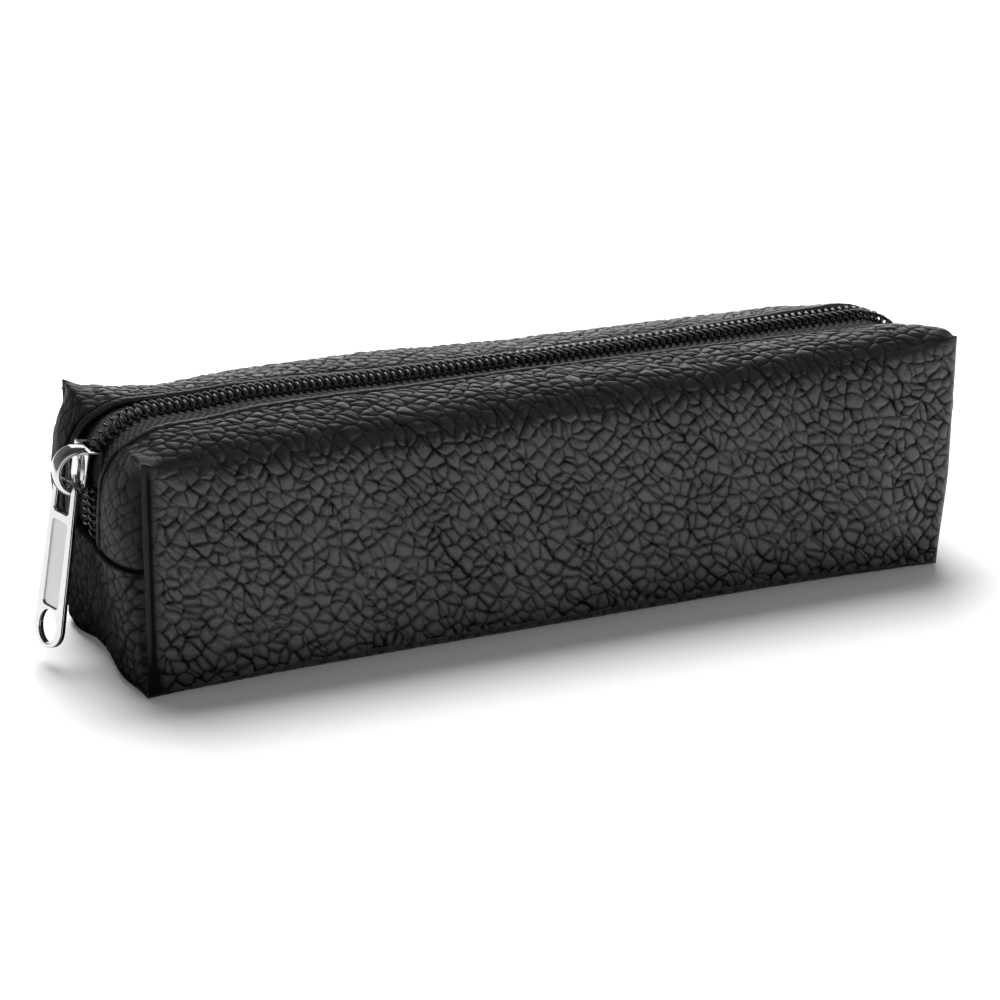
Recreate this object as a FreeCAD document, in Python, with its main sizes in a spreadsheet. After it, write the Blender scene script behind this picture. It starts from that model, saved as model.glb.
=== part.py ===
import FreeCAD, Part
import math
import os

import Sketcher
from FreeCAD import Placement, Rotation, Vector

# A soft box-shaped pen case: leather wrap and boxed ends, a zip that runs over the top and down
# both ends, hinged lips beside the zip, and a slider with a hanging pull at the left end.
# Frame: +X along the length, -Y is the front, +Z up, origin at the centre of the bottom.
# Lengths are in millimetres and angles in degrees.

DIMENSIONS = {
    # Case
    "case_length": 200.0,
    "case_width": 56.0,
    "ridge_height": 54.0,
    "tip_rise": 2.2,
    "tip_run": 12.0,
    "tip_radius": 2.5,
    "seam_height": 30.0,
    "leather": 1.4,
    "edge_radius": 1.2,
    "lining": 0.5,
    "lining_drop": 0.6,
    "binding_width": 6.0,
    "binding": 0.8,
    # Zip
    "zip_rise": 2.8,
    "zip_opening": 14.0,
    "zip_overhang": 2.0,
    "corner_radius": 14.0,
    "straight_run": 7.0,
    "tape": 0.6,
    "tape_under": 5.0,
    "chain_width": 6.4,
    "rail_width": 1.9,
    "coil_height": 2.2,
    "tooth_pitch": 1.8,
    "tooth_thickness": 0.55,
    "tooth_reach": 0.9,
    "stitch_length": 3.8,
    "stitch_pitch": 4.8,
    "stitch_inset": 1.2,
    "thread": 0.5,
    # Slider and pull
    "slider_length": 11.5,
    "slider_width": 10.0,
    "slider_nose_length": 3.5,
    "slider_nose_width": 2.4,
    "slider_plate": 1.2,
    "flange": 1.1,
    "wedge_width": 1.4,
    "wedge_length": 3.5,
    "wedge_inset": 1.2,
    "bridge_length": 10.4,
    "bridge_leg": 1.8,
    "bridge_radius": 4.2,
    "bridge_thickness": 1.2,
    "bridge_width": 3.5,
    "slider_rest_angle": 9.0,
    "pull_length": 40.0,
    "pull_top_width": 8.0,
    "pull_end_radius": 4.9,
    "pull_thickness": 1.4,
    "pull_corner": 1.5,
    "pull_bar": 1.2,
    "pull_lean": 5.0,
    "window_width": 5.4,
    "window_height": 6.5,
    "ring_radius": 3.6,
    "panel_width": 5.6,
    "panel_depth": 0.25,
    "panel_margin": 1.8,
    # Clearances
    "fold_gap": 0.3,
    "run_gap": 0.3,
    "sewn_gap": 0.05,
}

doc = FreeCAD.newDocument("pen_case")
dims = doc.addObject("Spreadsheet::Sheet", "dims")
for row, (alias, number) in enumerate(DIMENSIONS.items(), start=1):
    dims.set(f"A{row}", alias)
    dims.set(f"B{row}", str(number))
    dims.setAlias(f"B{row}", alias)
doc.recompute()

# Sizes worked out from the driving dimensions, as expressions on the sheet
HALF_LENGTH = "(dims.case_length / 2)"
HALF_WIDTH = "(dims.case_width / 2)"
INNER_HALF_WIDTH = f"({HALF_WIDTH} - dims.leather)"
INNER_END = f"({HALF_LENGTH} - dims.leather)"
ZIP_HALF = "(dims.zip_opening / 2)"
ZIP_HEIGHT = "(dims.ridge_height + dims.zip_rise)"
LIP_SLOPE = f"((dims.zip_rise + dims.leather) / {HALF_WIDTH})"
TIP_HEIGHT = "(dims.ridge_height + dims.tip_rise)"
LIP_UNDERSIDE = "(dims.ridge_height - dims.leather)"
WALL_TOP = f"({LIP_UNDERSIDE} - dims.fold_gap)"
LINING_TOP = f"({WALL_TOP} - dims.lining_drop)"
# The zip bends round each end on an arc about the point (ARC_X, ARC_Z), mirrored at the left end
ARC_X = f"({HALF_LENGTH} + dims.zip_overhang - dims.corner_radius)"
ARC_Z = f"({ZIP_HEIGHT} - dims.corner_radius)"
END_ZONE = f"({ARC_X} - dims.straight_run)"
LIP_HALF_LENGTH = f"({END_ZONE} - dims.fold_gap)"
# Half the gap between the two tapes: past the meshed teeth along the top, parted for the wedge
# at the left end, and shut at the right end
TEETH_GAP = "(dims.tooth_reach + dims.run_gap)"
WEDGE_GAP = "(dims.wedge_width / 2 + dims.run_gap)"
SHUT_GAP = "(dims.fold_gap / 2)"
END_GAPS = {-1: WEDGE_GAP, 1: SHUT_GAP}
CHAIN_HALF = "(dims.chain_width / 2)"
TAPE_OUTER = f"({ZIP_HALF} + dims.tape_under)"


def value(expression):
    """The number that an expression on the sheet has now."""
    return float(dims.evalExpression(expression))


def slope_height(half_gap):
    """Height of the tape's upper face at a distance from the middle of the zip."""
    return f"({ZIP_HEIGHT} - {LIP_SLOPE} * {half_gap})"


def origin_plane(body, role):
    """One of a body's own origin planes or axes."""
    return next(item for item in body.Origin.OriginFeatures if item.Role == role)


def new_body(label):
    """An empty body that will be one sub-part."""
    body = doc.addObject("PartDesign::Body", label)
    body.Label = label
    return body


def arc_between(start, end, radius, turn):
    """The arc of under a half circle from start to end that turns left (1) or right (-1)."""
    chord = end - start
    middle = (start + end) * 0.5
    reach = math.sqrt(max(radius ** 2 - (chord.Length / 2) ** 2, 0.0))
    left = Vector(-chord.y, chord.x, 0).normalize()
    centre = middle + left * (reach * turn)
    first, last = (start, end) if turn > 0 else (end, start)
    angles = [math.atan2(point.y - centre.y, point.x - centre.x) for point in (first, last)]
    return Part.ArcOfCircle(Part.Circle(centre, Vector(0, 0, 1), radius), *angles)


def attached_sketch(body, name, plane, offset):
    """An empty sketch on one of the body's origin planes, moved along its normal."""
    sketch = body.newObject("Sketcher::SketchObject", name)
    sketch.AttachmentSupport = (origin_plane(body, plane), "")
    sketch.MapMode = "FlatFace"
    sketch.setExpression("AttachmentOffset.Base.z", offset)
    return sketch


def bind(sketch, constraint, expression):
    """Add a constraint and tie its value to the sheet."""
    index = sketch.addConstraint(constraint)
    sketch.setExpression(f"Constraints[{index}]", expression)


def outline_sketch(body, name, plane, vertices, offset="0"):
    """A closed outline whose vertices are tied to the sheet.

    A vertex is (u, v), or (u, v, radius, turn) where an arc leaves it.
    """
    sketch = attached_sketch(body, name, plane, offset)
    points = [Vector(value(vertex[0]), value(vertex[1]), 0) for vertex in vertices]
    count = len(vertices)
    ends = []
    for index, vertex in enumerate(vertices):
        start = points[index]
        end = points[(index + 1) % count]
        if len(vertex) == 2:
            sketch.addGeometry(Part.LineSegment(start, end), False)
            ends.append((1, 2))
        else:
            radius, turn = vertex[2:]
            sketch.addGeometry(arc_between(start, end, value(radius), turn), False)
            ends.append((1, 2) if turn > 0 else (2, 1))
    for index in range(count):
        following = (index + 1) % count
        sketch.addConstraint(
            Sketcher.Constraint("Coincident", index, ends[index][1], following, ends[following][0]))
    for index, vertex in enumerate(vertices):
        first = ends[index][0]
        point = points[index]
        bind(sketch, Sketcher.Constraint("DistanceX", -1, 1, index, first, point.x), vertex[0])
        bind(sketch, Sketcher.Constraint("DistanceY", -1, 1, index, first, point.y), vertex[1])
        if len(vertex) > 2:
            bind(sketch, Sketcher.Constraint("Radius", index, value(vertex[2])), vertex[2])
    return sketch


def circle_sketch(body, name, plane, height, radius, offset="0"):
    """A circle on the sketch's upright axis."""
    sketch = attached_sketch(body, name, plane, offset)
    centre = Vector(0, value(height), 0)
    sketch.addGeometry(Part.Circle(centre, Vector(0, 0, 1), value(radius)), False)
    sketch.addConstraint(Sketcher.Constraint("PointOnObject", 0, 3, -2))
    bind(sketch, Sketcher.Constraint("DistanceY", -1, 1, 0, 3, centre.y), height)
    bind(sketch, Sketcher.Constraint("Radius", 0, value(radius)), radius)
    return sketch


def rectangle(left, right, low, high):
    """The vertices of an upright rectangle."""
    return [(left, low), (right, low), (right, high), (left, high)]


def pad(body, name, sketch, length, reversed_way=False):
    """Extrude a sketch along its normal."""
    feature = body.newObject("PartDesign::Pad", name)
    feature.Profile = sketch
    feature.setExpression("Length", length)
    feature.Reversed = reversed_way
    return feature


def cut(body, name, sketch, length, reversed_way=False):
    """Cut a sketch's outline out of the body and make sure that it took something away."""
    doc.recompute()
    before = body.Shape.Volume
    feature = body.newObject("PartDesign::Pocket", name)
    feature.Profile = sketch
    feature.setExpression("Length", length)
    feature.Reversed = reversed_way
    doc.recompute()
    if body.Shape.Volume > before - 1e-6:
        raise RuntimeError(f"{body.Label}: {name} cut nothing")
    return feature


def loft(body, name, first, second):
    """A ruled solid between two outlines."""
    feature = body.newObject("PartDesign::AdditiveLoft", name)
    feature.Profile = first
    feature.Sections = [second]
    feature.Ruled = True
    return feature


def row_along_x(body, name, feature, count, pitch):
    """Repeat a feature along the length of the case."""
    pattern = body.newObject("PartDesign::LinearPattern", name)
    pattern.Originals = [feature]
    pattern.Direction = (origin_plane(body, "X_Axis"), [""])
    pattern.setExpression("Occurrences", count)
    pattern.setExpression("Length", f"({count} - 1) * {pitch}")
    body.Tip = pattern
    return pattern


def box(label, x_range, y_range, z_range):
    """A plain block between two corners given as expressions."""
    block = doc.addObject("Part::Box", label)
    block.Label = label
    for side, axis, (low, high) in zip(("Length", "Width", "Height"), "xyz",
                                       (x_range, y_range, z_range)):
        block.setExpression(side, f"{high} - {low}")
        block.setExpression(f"Placement.Base.{axis}", low)
    return block


def mirrored(low, high, side):
    """A range of distances from the middle, on the side that has this sign."""
    return (low, high) if side > 0 else (f"-{high}", f"-{low}")


def trough(label, half_length, half_width, low, top, wall, outer_radius=None):
    """A sheet that makes a front wall, a bottom and a back wall."""
    body = new_body(label)
    inner = f"({half_width} - {wall})"
    floor_top = f"({low} + {wall})"
    if outer_radius is None:
        corners = [(f"-{half_width}", low), (half_width, low)]
    else:
        bend = f"min({outer_radius}; {wall})"
        corners = [
            (f"-{half_width}", f"{low} + {bend}", bend, 1),
            (f"-{half_width} + {bend}", low),
            (f"{half_width} - {bend}", low, bend, 1),
            (half_width, f"{low} + {bend}"),
        ]
    section = outline_sketch(body, f"{label}_section", "YZ_Plane", corners + [
        (half_width, top),
        (inner, top),
        (inner, floor_top),
        (f"-{inner}", floor_top),
        (f"-{inner}", top),
        (f"-{half_width}", top),
    ], offset=f"-{half_length}")
    pad(body, f"{label}_sheet", section, f"2 * {half_length}")
    return body


def leather_wrap():
    """Front wall, bottom and back wall, with tips at the corners and a step for the lips."""
    body = trough("leather_wrap", HALF_LENGTH, HALF_WIDTH, "0", TIP_HEIGHT, "dims.leather",
                  "dims.edge_radius")
    tip_start = f"({HALF_LENGTH} - dims.tip_run)"
    above = f"({TIP_HEIGHT} + dims.leather)"
    step = outline_sketch(body, "wrap_top_line", "XZ_Plane", [
        (f"-{END_ZONE}", WALL_TOP),
        (END_ZONE, WALL_TOP),
        (END_ZONE, "dims.ridge_height"),
        (tip_start, "dims.ridge_height"),
        (HALF_LENGTH, TIP_HEIGHT),
        (HALF_LENGTH, above),
        (f"-{HALF_LENGTH}", above),
        (f"-{HALF_LENGTH}", TIP_HEIGHT),
        (f"-{tip_start}", "dims.ridge_height"),
        (f"-{END_ZONE}", "dims.ridge_height"),
    ], offset=HALF_WIDTH)
    cut(body, "wrap_top", step, "dims.case_width")
    return body


def end_lower(label, side):
    """The end panel below the level seam: flat at the bottom, swelled out at the seam."""
    body = new_body(label)
    swell = f"({ARC_X} + {flap_radius()})"

    def strip(name, face, offset):
        outer = [(HALF_LENGTH, f"-{INNER_HALF_WIDTH}"), (face, f"-{ZIP_HALF}"), (face, ZIP_HALF),
                 (HALF_LENGTH, INNER_HALF_WIDTH)]
        inner = [(f"({x} - dims.leather)", y) for x, y in reversed(outer)]
        return outline_sketch(body, name, "XY_Plane",
                              [(f"{side} * {x}", y) for x, y in outer + inner], offset)

    foot = strip(f"{label}_foot", HALF_LENGTH, "dims.leather")
    top = strip(f"{label}_top", swell, "dims.seam_height")
    loft(body, f"{label}_panel", foot, top)
    return body


def flap_radius():
    """Outer radius of the leather round the corner, at its edge by the zip."""
    return f"({slope_height(ZIP_HALF)} + dims.leather - {ARC_Z})"


def bent_strip(body, name, side, radius, thickness, offset):
    """A strip that runs along the top, round the corner on an arc and down to the end seam."""
    inner = f"({radius} - {thickness})"
    outer_z = f"({ARC_Z} + {radius})"
    inner_z = f"({ARC_Z} + {inner})"
    outer_x = f"({ARC_X} + {radius})"
    inner_x = f"({ARC_X} + {inner})"
    return outline_sketch(body, name, "XZ_Plane", [
        (f"{side} * {END_ZONE}", outer_z),
        (f"{side} * {ARC_X}", outer_z, radius, -side),
        (f"{side} * {outer_x}", ARC_Z),
        (f"{side} * {outer_x}", "dims.seam_height"),
        (f"{side} * {inner_x}", "dims.seam_height"),
        (f"{side} * {inner_x}", ARC_Z, inner, side),
        (f"{side} * {ARC_X}", inner_z),
        (f"{side} * {END_ZONE}", inner_z),
    ], offset)


def end_flap(label, side, face):
    """Leather from the corner seam to the zip: a tip at the seam, an arc at the zip."""
    body = new_body(label)
    ridge = f"(dims.ridge_height + {LIP_SLOPE} * dims.leather)"
    tip = f"({ridge} + dims.tip_rise)"
    bend = "max(dims.tip_radius; dims.leather + dims.run_gap)"
    inner_bend = f"({bend} - dims.leather)"
    tip_start = f"({HALF_LENGTH} - dims.tip_run)"
    at_seam = outline_sketch(body, f"{label}_at_corner", "XZ_Plane", [
        (f"{side} * {END_ZONE}", ridge),
        (f"{side} * {tip_start}", ridge),
        (f"{side} * ({HALF_LENGTH} - {bend})", tip, bend, -side),
        (f"{side} * {HALF_LENGTH}", f"{tip} - {bend}"),
        (f"{side} * {HALF_LENGTH}", "dims.seam_height"),
        (f"{side} * {INNER_END}", "dims.seam_height"),
        (f"{side} * {INNER_END}", f"{tip} - {bend}", inner_bend, side),
        (f"{side} * ({HALF_LENGTH} - {bend})", f"{tip} - dims.leather"),
        (f"{side} * {tip_start}", f"{ridge} - dims.leather"),
        (f"{side} * {END_ZONE}", f"{ridge} - dims.leather"),
    ], f"{-face} * {INNER_HALF_WIDTH}")
    outer = flap_radius()
    inner = f"({outer} - dims.leather)"
    part_way = 60.0

    def on_arc(radius):
        return (f"{side} * ({ARC_X} + {radius} * cos({part_way}))",
                f"{ARC_Z} + {radius} * sin({part_way})")

    at_zip = outline_sketch(body, f"{label}_at_zip", "XZ_Plane", [
        (f"{side} * {END_ZONE}", f"{ARC_Z} + {outer}"),
        (f"{side} * {ARC_X}", f"{ARC_Z} + {outer}", outer, -side),
        (*on_arc(outer), outer, -side),
        (f"{side} * ({ARC_X} + {outer})", ARC_Z),
        (f"{side} * ({ARC_X} + {outer})", "dims.seam_height"),
        (f"{side} * ({ARC_X} + {inner})", "dims.seam_height"),
        (f"{side} * ({ARC_X} + {inner})", ARC_Z, inner, side),
        (*on_arc(inner), inner, side),
        (f"{side} * {ARC_X}", f"{ARC_Z} + {inner}"),
        (f"{side} * {END_ZONE}", f"{ARC_Z} + {inner}"),
    ], f"{-face} * {ZIP_HALF}")
    loft(body, f"{label}_leather", at_seam, at_zip)
    return body


def end_tape(label, side, face):
    """Half of the zip tape round one corner, sloped like the lips."""
    body = new_body(label)

    def strip(name, half_gap):
        radius = f"({slope_height(half_gap)} - {ARC_Z} - dims.sewn_gap)"
        return bent_strip(body, name, side, radius, "dims.tape", f"{-face} * {half_gap}")

    inner = strip(f"{label}_inner", END_GAPS[side])
    outer = strip(f"{label}_outer", TAPE_OUTER)
    loft(body, f"{label}_weave", inner, outer)
    return body


def end_coil(label, side, face):
    """One row of coil round a corner."""
    body = new_body(label)
    radius = "(dims.corner_radius + dims.coil_height)"
    gap = END_GAPS[side]
    start = CHAIN_HALF if face < 0 else f"-{gap}"
    band = bent_strip(body, f"{label}_band", side, radius, "dims.coil_height", start)
    pad(body, f"{label}_row", band, f"{CHAIN_HALF} - {gap}", reversed_way=True)
    return body


def lip_leather(label, face):
    """The leather strip of the top between the ridge and the zip."""
    body = new_body(label)
    edge = f"({slope_height(ZIP_HALF)} + dims.leather)"
    section = outline_sketch(body, f"{label}_section", "YZ_Plane", [
        (f"{face} * {HALF_WIDTH}", "dims.ridge_height"),
        (f"{face} * {ZIP_HALF}", edge),
        (f"{face} * {ZIP_HALF}", f"{edge} - dims.leather"),
        (f"{face} * {HALF_WIDTH}", LIP_UNDERSIDE),
    ], f"-{LIP_HALF_LENGTH}")
    pad(body, f"{label}_strip", section, f"2 * {LIP_HALF_LENGTH}")
    return body


def lip_tape(label, face):
    """Half of the zip tape along the top, sewn under a lip."""
    body = new_body(label)
    section = outline_sketch(body, f"{label}_section", "YZ_Plane", [
        (f"{face} * {TAPE_OUTER}", slope_height(TAPE_OUTER)),
        (f"{face} * {TEETH_GAP}", slope_height(TEETH_GAP)),
        (f"{face} * {TEETH_GAP}", f"{slope_height(TEETH_GAP)} - dims.tape"),
        (f"{face} * {TAPE_OUTER}", f"{slope_height(TAPE_OUTER)} - dims.tape"),
    ], f"-{LIP_HALF_LENGTH}")
    pad(body, f"{label}_strip", section, f"2 * {LIP_HALF_LENGTH}")
    return body


def lip_coil(label, face):
    """One row of coil along the top: a rail and its teeth, which mesh with the other row's."""
    body = new_body(label)
    top = f"({ZIP_HEIGHT} + dims.coil_height)"
    rail_inner = f"({CHAIN_HALF} - dims.rail_width)"
    rail_range = mirrored(rail_inner, CHAIN_HALF, face)
    rail = outline_sketch(body, f"{label}_rail_section", "YZ_Plane",
                          rectangle(*rail_range, ZIP_HEIGHT, top), f"-{LIP_HALF_LENGTH}")
    pad(body, f"{label}_rail", rail, f"2 * {LIP_HALF_LENGTH}")
    phase = "dims.tooth_pitch" if face < 0 else "(dims.tooth_pitch * 1.5)"
    tooth_range = mirrored("-dims.tooth_reach", rail_inner, face)
    tooth = outline_sketch(body, f"{label}_tooth_section", "YZ_Plane",
                           rectangle(*tooth_range, ZIP_HEIGHT, top),
                           f"-{LIP_HALF_LENGTH} + {phase} - dims.tooth_thickness / 2")
    first = pad(body, f"{label}_tooth", tooth, "dims.tooth_thickness")
    count = f"floor((2 * {LIP_HALF_LENGTH} - {phase}) / dims.tooth_pitch)"
    row_along_x(body, f"{label}_teeth", first, count, "dims.tooth_pitch")
    return body


def edge_stitches(label, face):
    """A row of stitches beside the zip, on a lip."""
    body = new_body(label)
    body.AllowCompound = True
    near = f"({ZIP_HALF} + dims.stitch_inset)"
    far = f"({near} + dims.thread)"
    low = f"({slope_height(near)} + dims.leather)"
    start = "(dims.stitch_pitch - dims.stitch_length)"
    section = outline_sketch(body, f"{label}_section", "YZ_Plane",
                             rectangle(*mirrored(near, far, face), low, f"({low} + dims.thread)"),
                             f"-{LIP_HALF_LENGTH} + {start}")
    first = pad(body, f"{label}_first", section, "dims.stitch_length")
    count = f"floor((2 * {LIP_HALF_LENGTH} - {start}) / dims.stitch_pitch)"
    row_along_x(body, f"{label}_row", first, count, "dims.stitch_pitch")
    return body


# Heights of the slider's faces above the axis that it turns about, with the slider on the top of the arc
PLATE_LOW = "(dims.corner_radius + dims.coil_height + dims.run_gap)"
PLATE_TOP = f"({PLATE_LOW} + dims.slider_plate)"
TAPE_INNER_RADIUS = f"({slope_height('(dims.slider_width / 2)')} - {ARC_Z} - dims.tape)"
BACK_PLATE_TOP = f"(sqrt({TAPE_INNER_RADIUS}^2 - (dims.slider_length / 2)^2) - dims.run_gap)"
BACK_PLATE_LOW = f"({BACK_PLATE_TOP} - dims.slider_plate)"
PULL_X = "(-dims.bridge_length / 2 + dims.bridge_thickness + dims.pull_bar / 2 + 2 * dims.run_gap)"


def set_on_arc(body):
    """Turn a piece of the slider from the top of the arc to where it rests at the left end."""
    body.Placement = Placement(Vector(), Rotation(Vector(0, -1, 0), 45.0))
    body.setExpression("Placement.Base.x", f"-{ARC_X}")
    body.setExpression("Placement.Base.z", ARC_Z)
    body.setExpression("Placement.Rotation.Angle", "90 - dims.slider_rest_angle")


def slider_outline(body, name, offset):
    """The slider's plan: square at the tail, drawn in to a blunt nose."""
    half = "(dims.slider_length / 2)"
    side = "(dims.slider_width / 2)"
    nose = "(dims.slider_nose_width / 2)"
    shoulder = f"(-{half} + dims.slider_nose_length)"
    return outline_sketch(body, name, "XY_Plane", [
        (half, f"-{side}"),
        (half, side),
        (shoulder, side),
        (f"-{half}", nose),
        (f"-{half}", f"-{nose}"),
        (shoulder, f"-{side}"),
    ], offset)


def slider_body():
    """Front plate with its flanges, the wedge that parts the rows, and the back plate."""
    body = new_body("slider_body")
    pad(body, "front_plate", slider_outline(body, "front_plate_plan", PLATE_LOW), "dims.slider_plate")
    half = "(dims.slider_length / 2)"
    side = "(dims.slider_width / 2)"
    wedge_start = f"(-{half} + dims.wedge_inset)"
    wedge = outline_sketch(body, "wedge_plan", "XY_Plane", rectangle(
        wedge_start, f"({wedge_start} + dims.wedge_length)", "-dims.wedge_width / 2",
        "dims.wedge_width / 2"), BACK_PLATE_LOW)
    pad(body, "wedge", wedge, f"{PLATE_TOP} - {BACK_PLATE_LOW}")
    pad(body, "back_plate", slider_outline(body, "back_plate_plan", BACK_PLATE_LOW), "dims.slider_plate")
    flange_low = "(dims.corner_radius + dims.run_gap)"
    for name, low, high in (("front_flange", f"-{side}", f"(-{side} + dims.flange)"),
                            ("rear_flange", f"({side} - dims.flange)", side)):
        plan = outline_sketch(body, f"{name}_plan", "XY_Plane", rectangle(
            f"(-{half} + dims.slider_nose_length)", half, low, high), flange_low)
        pad(body, name, plan, f"{PLATE_TOP} - {flange_low}")
    set_on_arc(body)
    return body


def slider_bridge():
    """The arched loop on the slider that carries the pull."""
    body = new_body("slider_bridge")
    half = "(dims.bridge_length / 2)"
    inner_half = f"({half} - dims.bridge_thickness)"
    shoulder = f"({PLATE_TOP} + dims.bridge_leg)"
    crown = f"({shoulder} + dims.bridge_radius)"
    bend = f"({half} - dims.bridge_radius)"
    inner_radius = "(dims.bridge_radius - dims.bridge_thickness)"
    inner_crown = f"({crown} - dims.bridge_thickness)"
    arch = outline_sketch(body, "bridge_arch", "XZ_Plane", [
        (half, PLATE_TOP),
        (half, shoulder, "dims.bridge_radius", 1),
        (bend, crown),
        (f"-{bend}", crown, "dims.bridge_radius", 1),
        (f"-{half}", shoulder),
        (f"-{half}", PLATE_TOP),
        (f"-{inner_half}", PLATE_TOP),
        (f"-{inner_half}", shoulder, inner_radius, -1),
        (f"-{bend}", inner_crown),
        (bend, inner_crown, inner_radius, -1),
        (inner_half, shoulder),
        (inner_half, PLATE_TOP),
    ], "-dims.bridge_width / 2")
    pad(body, "bridge_band", arch, "dims.bridge_width")
    set_on_arc(body)
    return body


def pull_tab():
    """The long pull, hung on its top bar inside the bridge: window, sunk panel and ring hole."""
    body = new_body("pull_tab")
    top = "(dims.pull_bar / 2)"
    half_top = "(dims.pull_top_width / 2)"
    end = "dims.pull_end_radius"
    end_centre = f"({top} - dims.pull_length + {end})"
    corner = "dims.pull_corner"
    behind = "-dims.pull_thickness / 2"
    plan = outline_sketch(body, "pull_plan", "YZ_Plane", [
        (end, end_centre),
        (half_top, f"{top} - {corner}", corner, 1),
        (f"{half_top} - {corner}", top),
        (f"-{half_top} + {corner}", top, corner, 1),
        (f"-{half_top}", f"{top} - {corner}"),
        (f"-{end}", end_centre, end, 1),
        ("0", f"{end_centre} - {end}", end, 1),
    ], behind)
    pad(body, "pull_blank", plan, "dims.pull_thickness")
    window_top = "(-dims.pull_bar / 2)"
    window_low = f"({window_top} - dims.window_height)"
    window = outline_sketch(body, "window_plan", "YZ_Plane", rectangle(
        "-dims.window_width / 2", "dims.window_width / 2", window_low, window_top), behind)
    cut(body, "window", window, "dims.pull_thickness", reversed_way=True)
    ring = circle_sketch(body, "ring_plan", "YZ_Plane", end_centre, "dims.ring_radius", behind)
    cut(body, "ring_hole", ring, "dims.pull_thickness", reversed_way=True)
    panel = outline_sketch(body, "panel_plan", "YZ_Plane", rectangle(
        "-dims.panel_width / 2", "dims.panel_width / 2",
        f"({end_centre} + dims.ring_radius + dims.panel_margin)",
        f"({window_low} - dims.panel_margin)"), behind)
    cut(body, "sunk_panel", panel, "dims.panel_depth", reversed_way=True)
    height = f"({PLATE_TOP} + dims.bridge_leg + 2 * dims.run_gap)"
    tilt = "dims.slider_rest_angle"
    body.Placement = Placement(Vector(), Rotation(Vector(0, 1, 0), 45.0))
    body.setExpression("Placement.Base.x", f"-{ARC_X} - {height} * cos({tilt}) + {PULL_X} * sin({tilt})")
    body.setExpression("Placement.Base.z", f"{ARC_Z} + {height} * sin({tilt}) + {PULL_X} * cos({tilt})")
    body.setExpression("Placement.Rotation.Angle", "dims.pull_lean")
    return body


pieces = [leather_wrap()]
pieces.append(trough("lining_wrap", INNER_END, INNER_HALF_WIDTH, "dims.leather", LINING_TOP, "dims.lining"))
LINING_FLOOR = "(dims.leather + dims.lining)"
LINING_END = f"({INNER_END} - dims.lining)"
LINING_HALF_WIDTH = f"({INNER_HALF_WIDTH} - dims.lining)"
BINDING_END = f"({LINING_END} - dims.binding)"
BINDING_HALF_WIDTH = f"({LINING_HALF_WIDTH} - dims.binding_width)"
LINING_END_TOP = "(dims.seam_height - dims.lining)"
for end_name, side in (("left", -1), ("right", 1)):
    pieces.append(end_lower(f"{end_name}_end_lower", side))
    pieces.append(box(f"{end_name}_lining", mirrored(LINING_END, INNER_END, side),
                      (f"-{LINING_HALF_WIDTH}", LINING_HALF_WIDTH), (LINING_FLOOR, LINING_END_TOP)))
    pieces.append(box(f"{end_name}_seam_binding", mirrored(BINDING_END, LINING_END, side),
                      (f"-{BINDING_HALF_WIDTH}", BINDING_HALF_WIDTH),
                      (f"({LINING_END_TOP} - dims.binding_width)", LINING_END_TOP)))
    for face_name, face in (("front", -1), ("back", 1)):
        pieces.append(end_flap(f"{end_name}_flap_{face_name}", side, face))
        pieces.append(end_tape(f"{end_name}_tape_{face_name}", side, face))
        pieces.append(end_coil(f"{end_name}_coil_{face_name}", side, face))
        pieces.append(box(f"{end_name}_corner_binding_{face_name}",
                          mirrored(BINDING_END, LINING_END, side),
                          mirrored(BINDING_HALF_WIDTH, LINING_HALF_WIDTH, face),
                          (LINING_FLOOR, LINING_TOP)))
for face_name, face in (("front", -1), ("back", 1)):
    pieces.append(lip_leather(f"{face_name}_lip", face))
    pieces.append(lip_tape(f"{face_name}_tape", face))
    pieces.append(lip_coil(f"{face_name}_coil", face))
    pieces.append(edge_stitches(f"{face_name}_stitches", face))
pieces.append(slider_body())
pieces.append(slider_bridge())
pieces.append(pull_tab())
doc.recompute()

for item in doc.Objects:
    if "Invalid" in item.State or "Error" in item.State:
        raise RuntimeError(f"{item.Label} failed: {item.State}")
for piece in pieces:
    if piece.Shape.isNull() or not piece.Shape.isValid() or not piece.Shape.Solids:
        raise RuntimeError(f"{piece.Label} has no valid solid")

os.makedirs("parts", exist_ok=True)
for piece in pieces:
    piece.Shape.exportStep(f"parts/{piece.Label}.step")

print("zip arc centre", round(value(ARC_X), 4), round(value(ARC_Z), 4))
pull = doc.getObject("pull_tab").Placement.Base
print("pull axis", round(pull.x, 4), round(pull.z, 4))
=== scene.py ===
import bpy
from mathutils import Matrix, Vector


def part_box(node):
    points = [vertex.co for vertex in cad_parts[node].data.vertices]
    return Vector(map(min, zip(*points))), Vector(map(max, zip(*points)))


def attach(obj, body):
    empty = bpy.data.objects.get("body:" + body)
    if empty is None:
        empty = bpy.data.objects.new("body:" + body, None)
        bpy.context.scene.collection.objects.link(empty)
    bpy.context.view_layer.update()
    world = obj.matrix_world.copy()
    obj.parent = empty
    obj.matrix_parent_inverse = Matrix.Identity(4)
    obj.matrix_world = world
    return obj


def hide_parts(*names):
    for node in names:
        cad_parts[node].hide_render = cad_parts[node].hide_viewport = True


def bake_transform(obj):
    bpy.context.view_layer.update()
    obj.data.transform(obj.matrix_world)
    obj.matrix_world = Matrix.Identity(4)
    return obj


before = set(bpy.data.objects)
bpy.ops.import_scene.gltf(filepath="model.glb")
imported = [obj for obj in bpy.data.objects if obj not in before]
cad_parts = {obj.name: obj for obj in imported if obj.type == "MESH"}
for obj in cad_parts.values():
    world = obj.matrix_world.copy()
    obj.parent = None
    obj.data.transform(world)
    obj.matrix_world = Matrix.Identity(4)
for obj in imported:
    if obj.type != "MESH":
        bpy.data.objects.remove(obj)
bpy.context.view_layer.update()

import math

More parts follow.
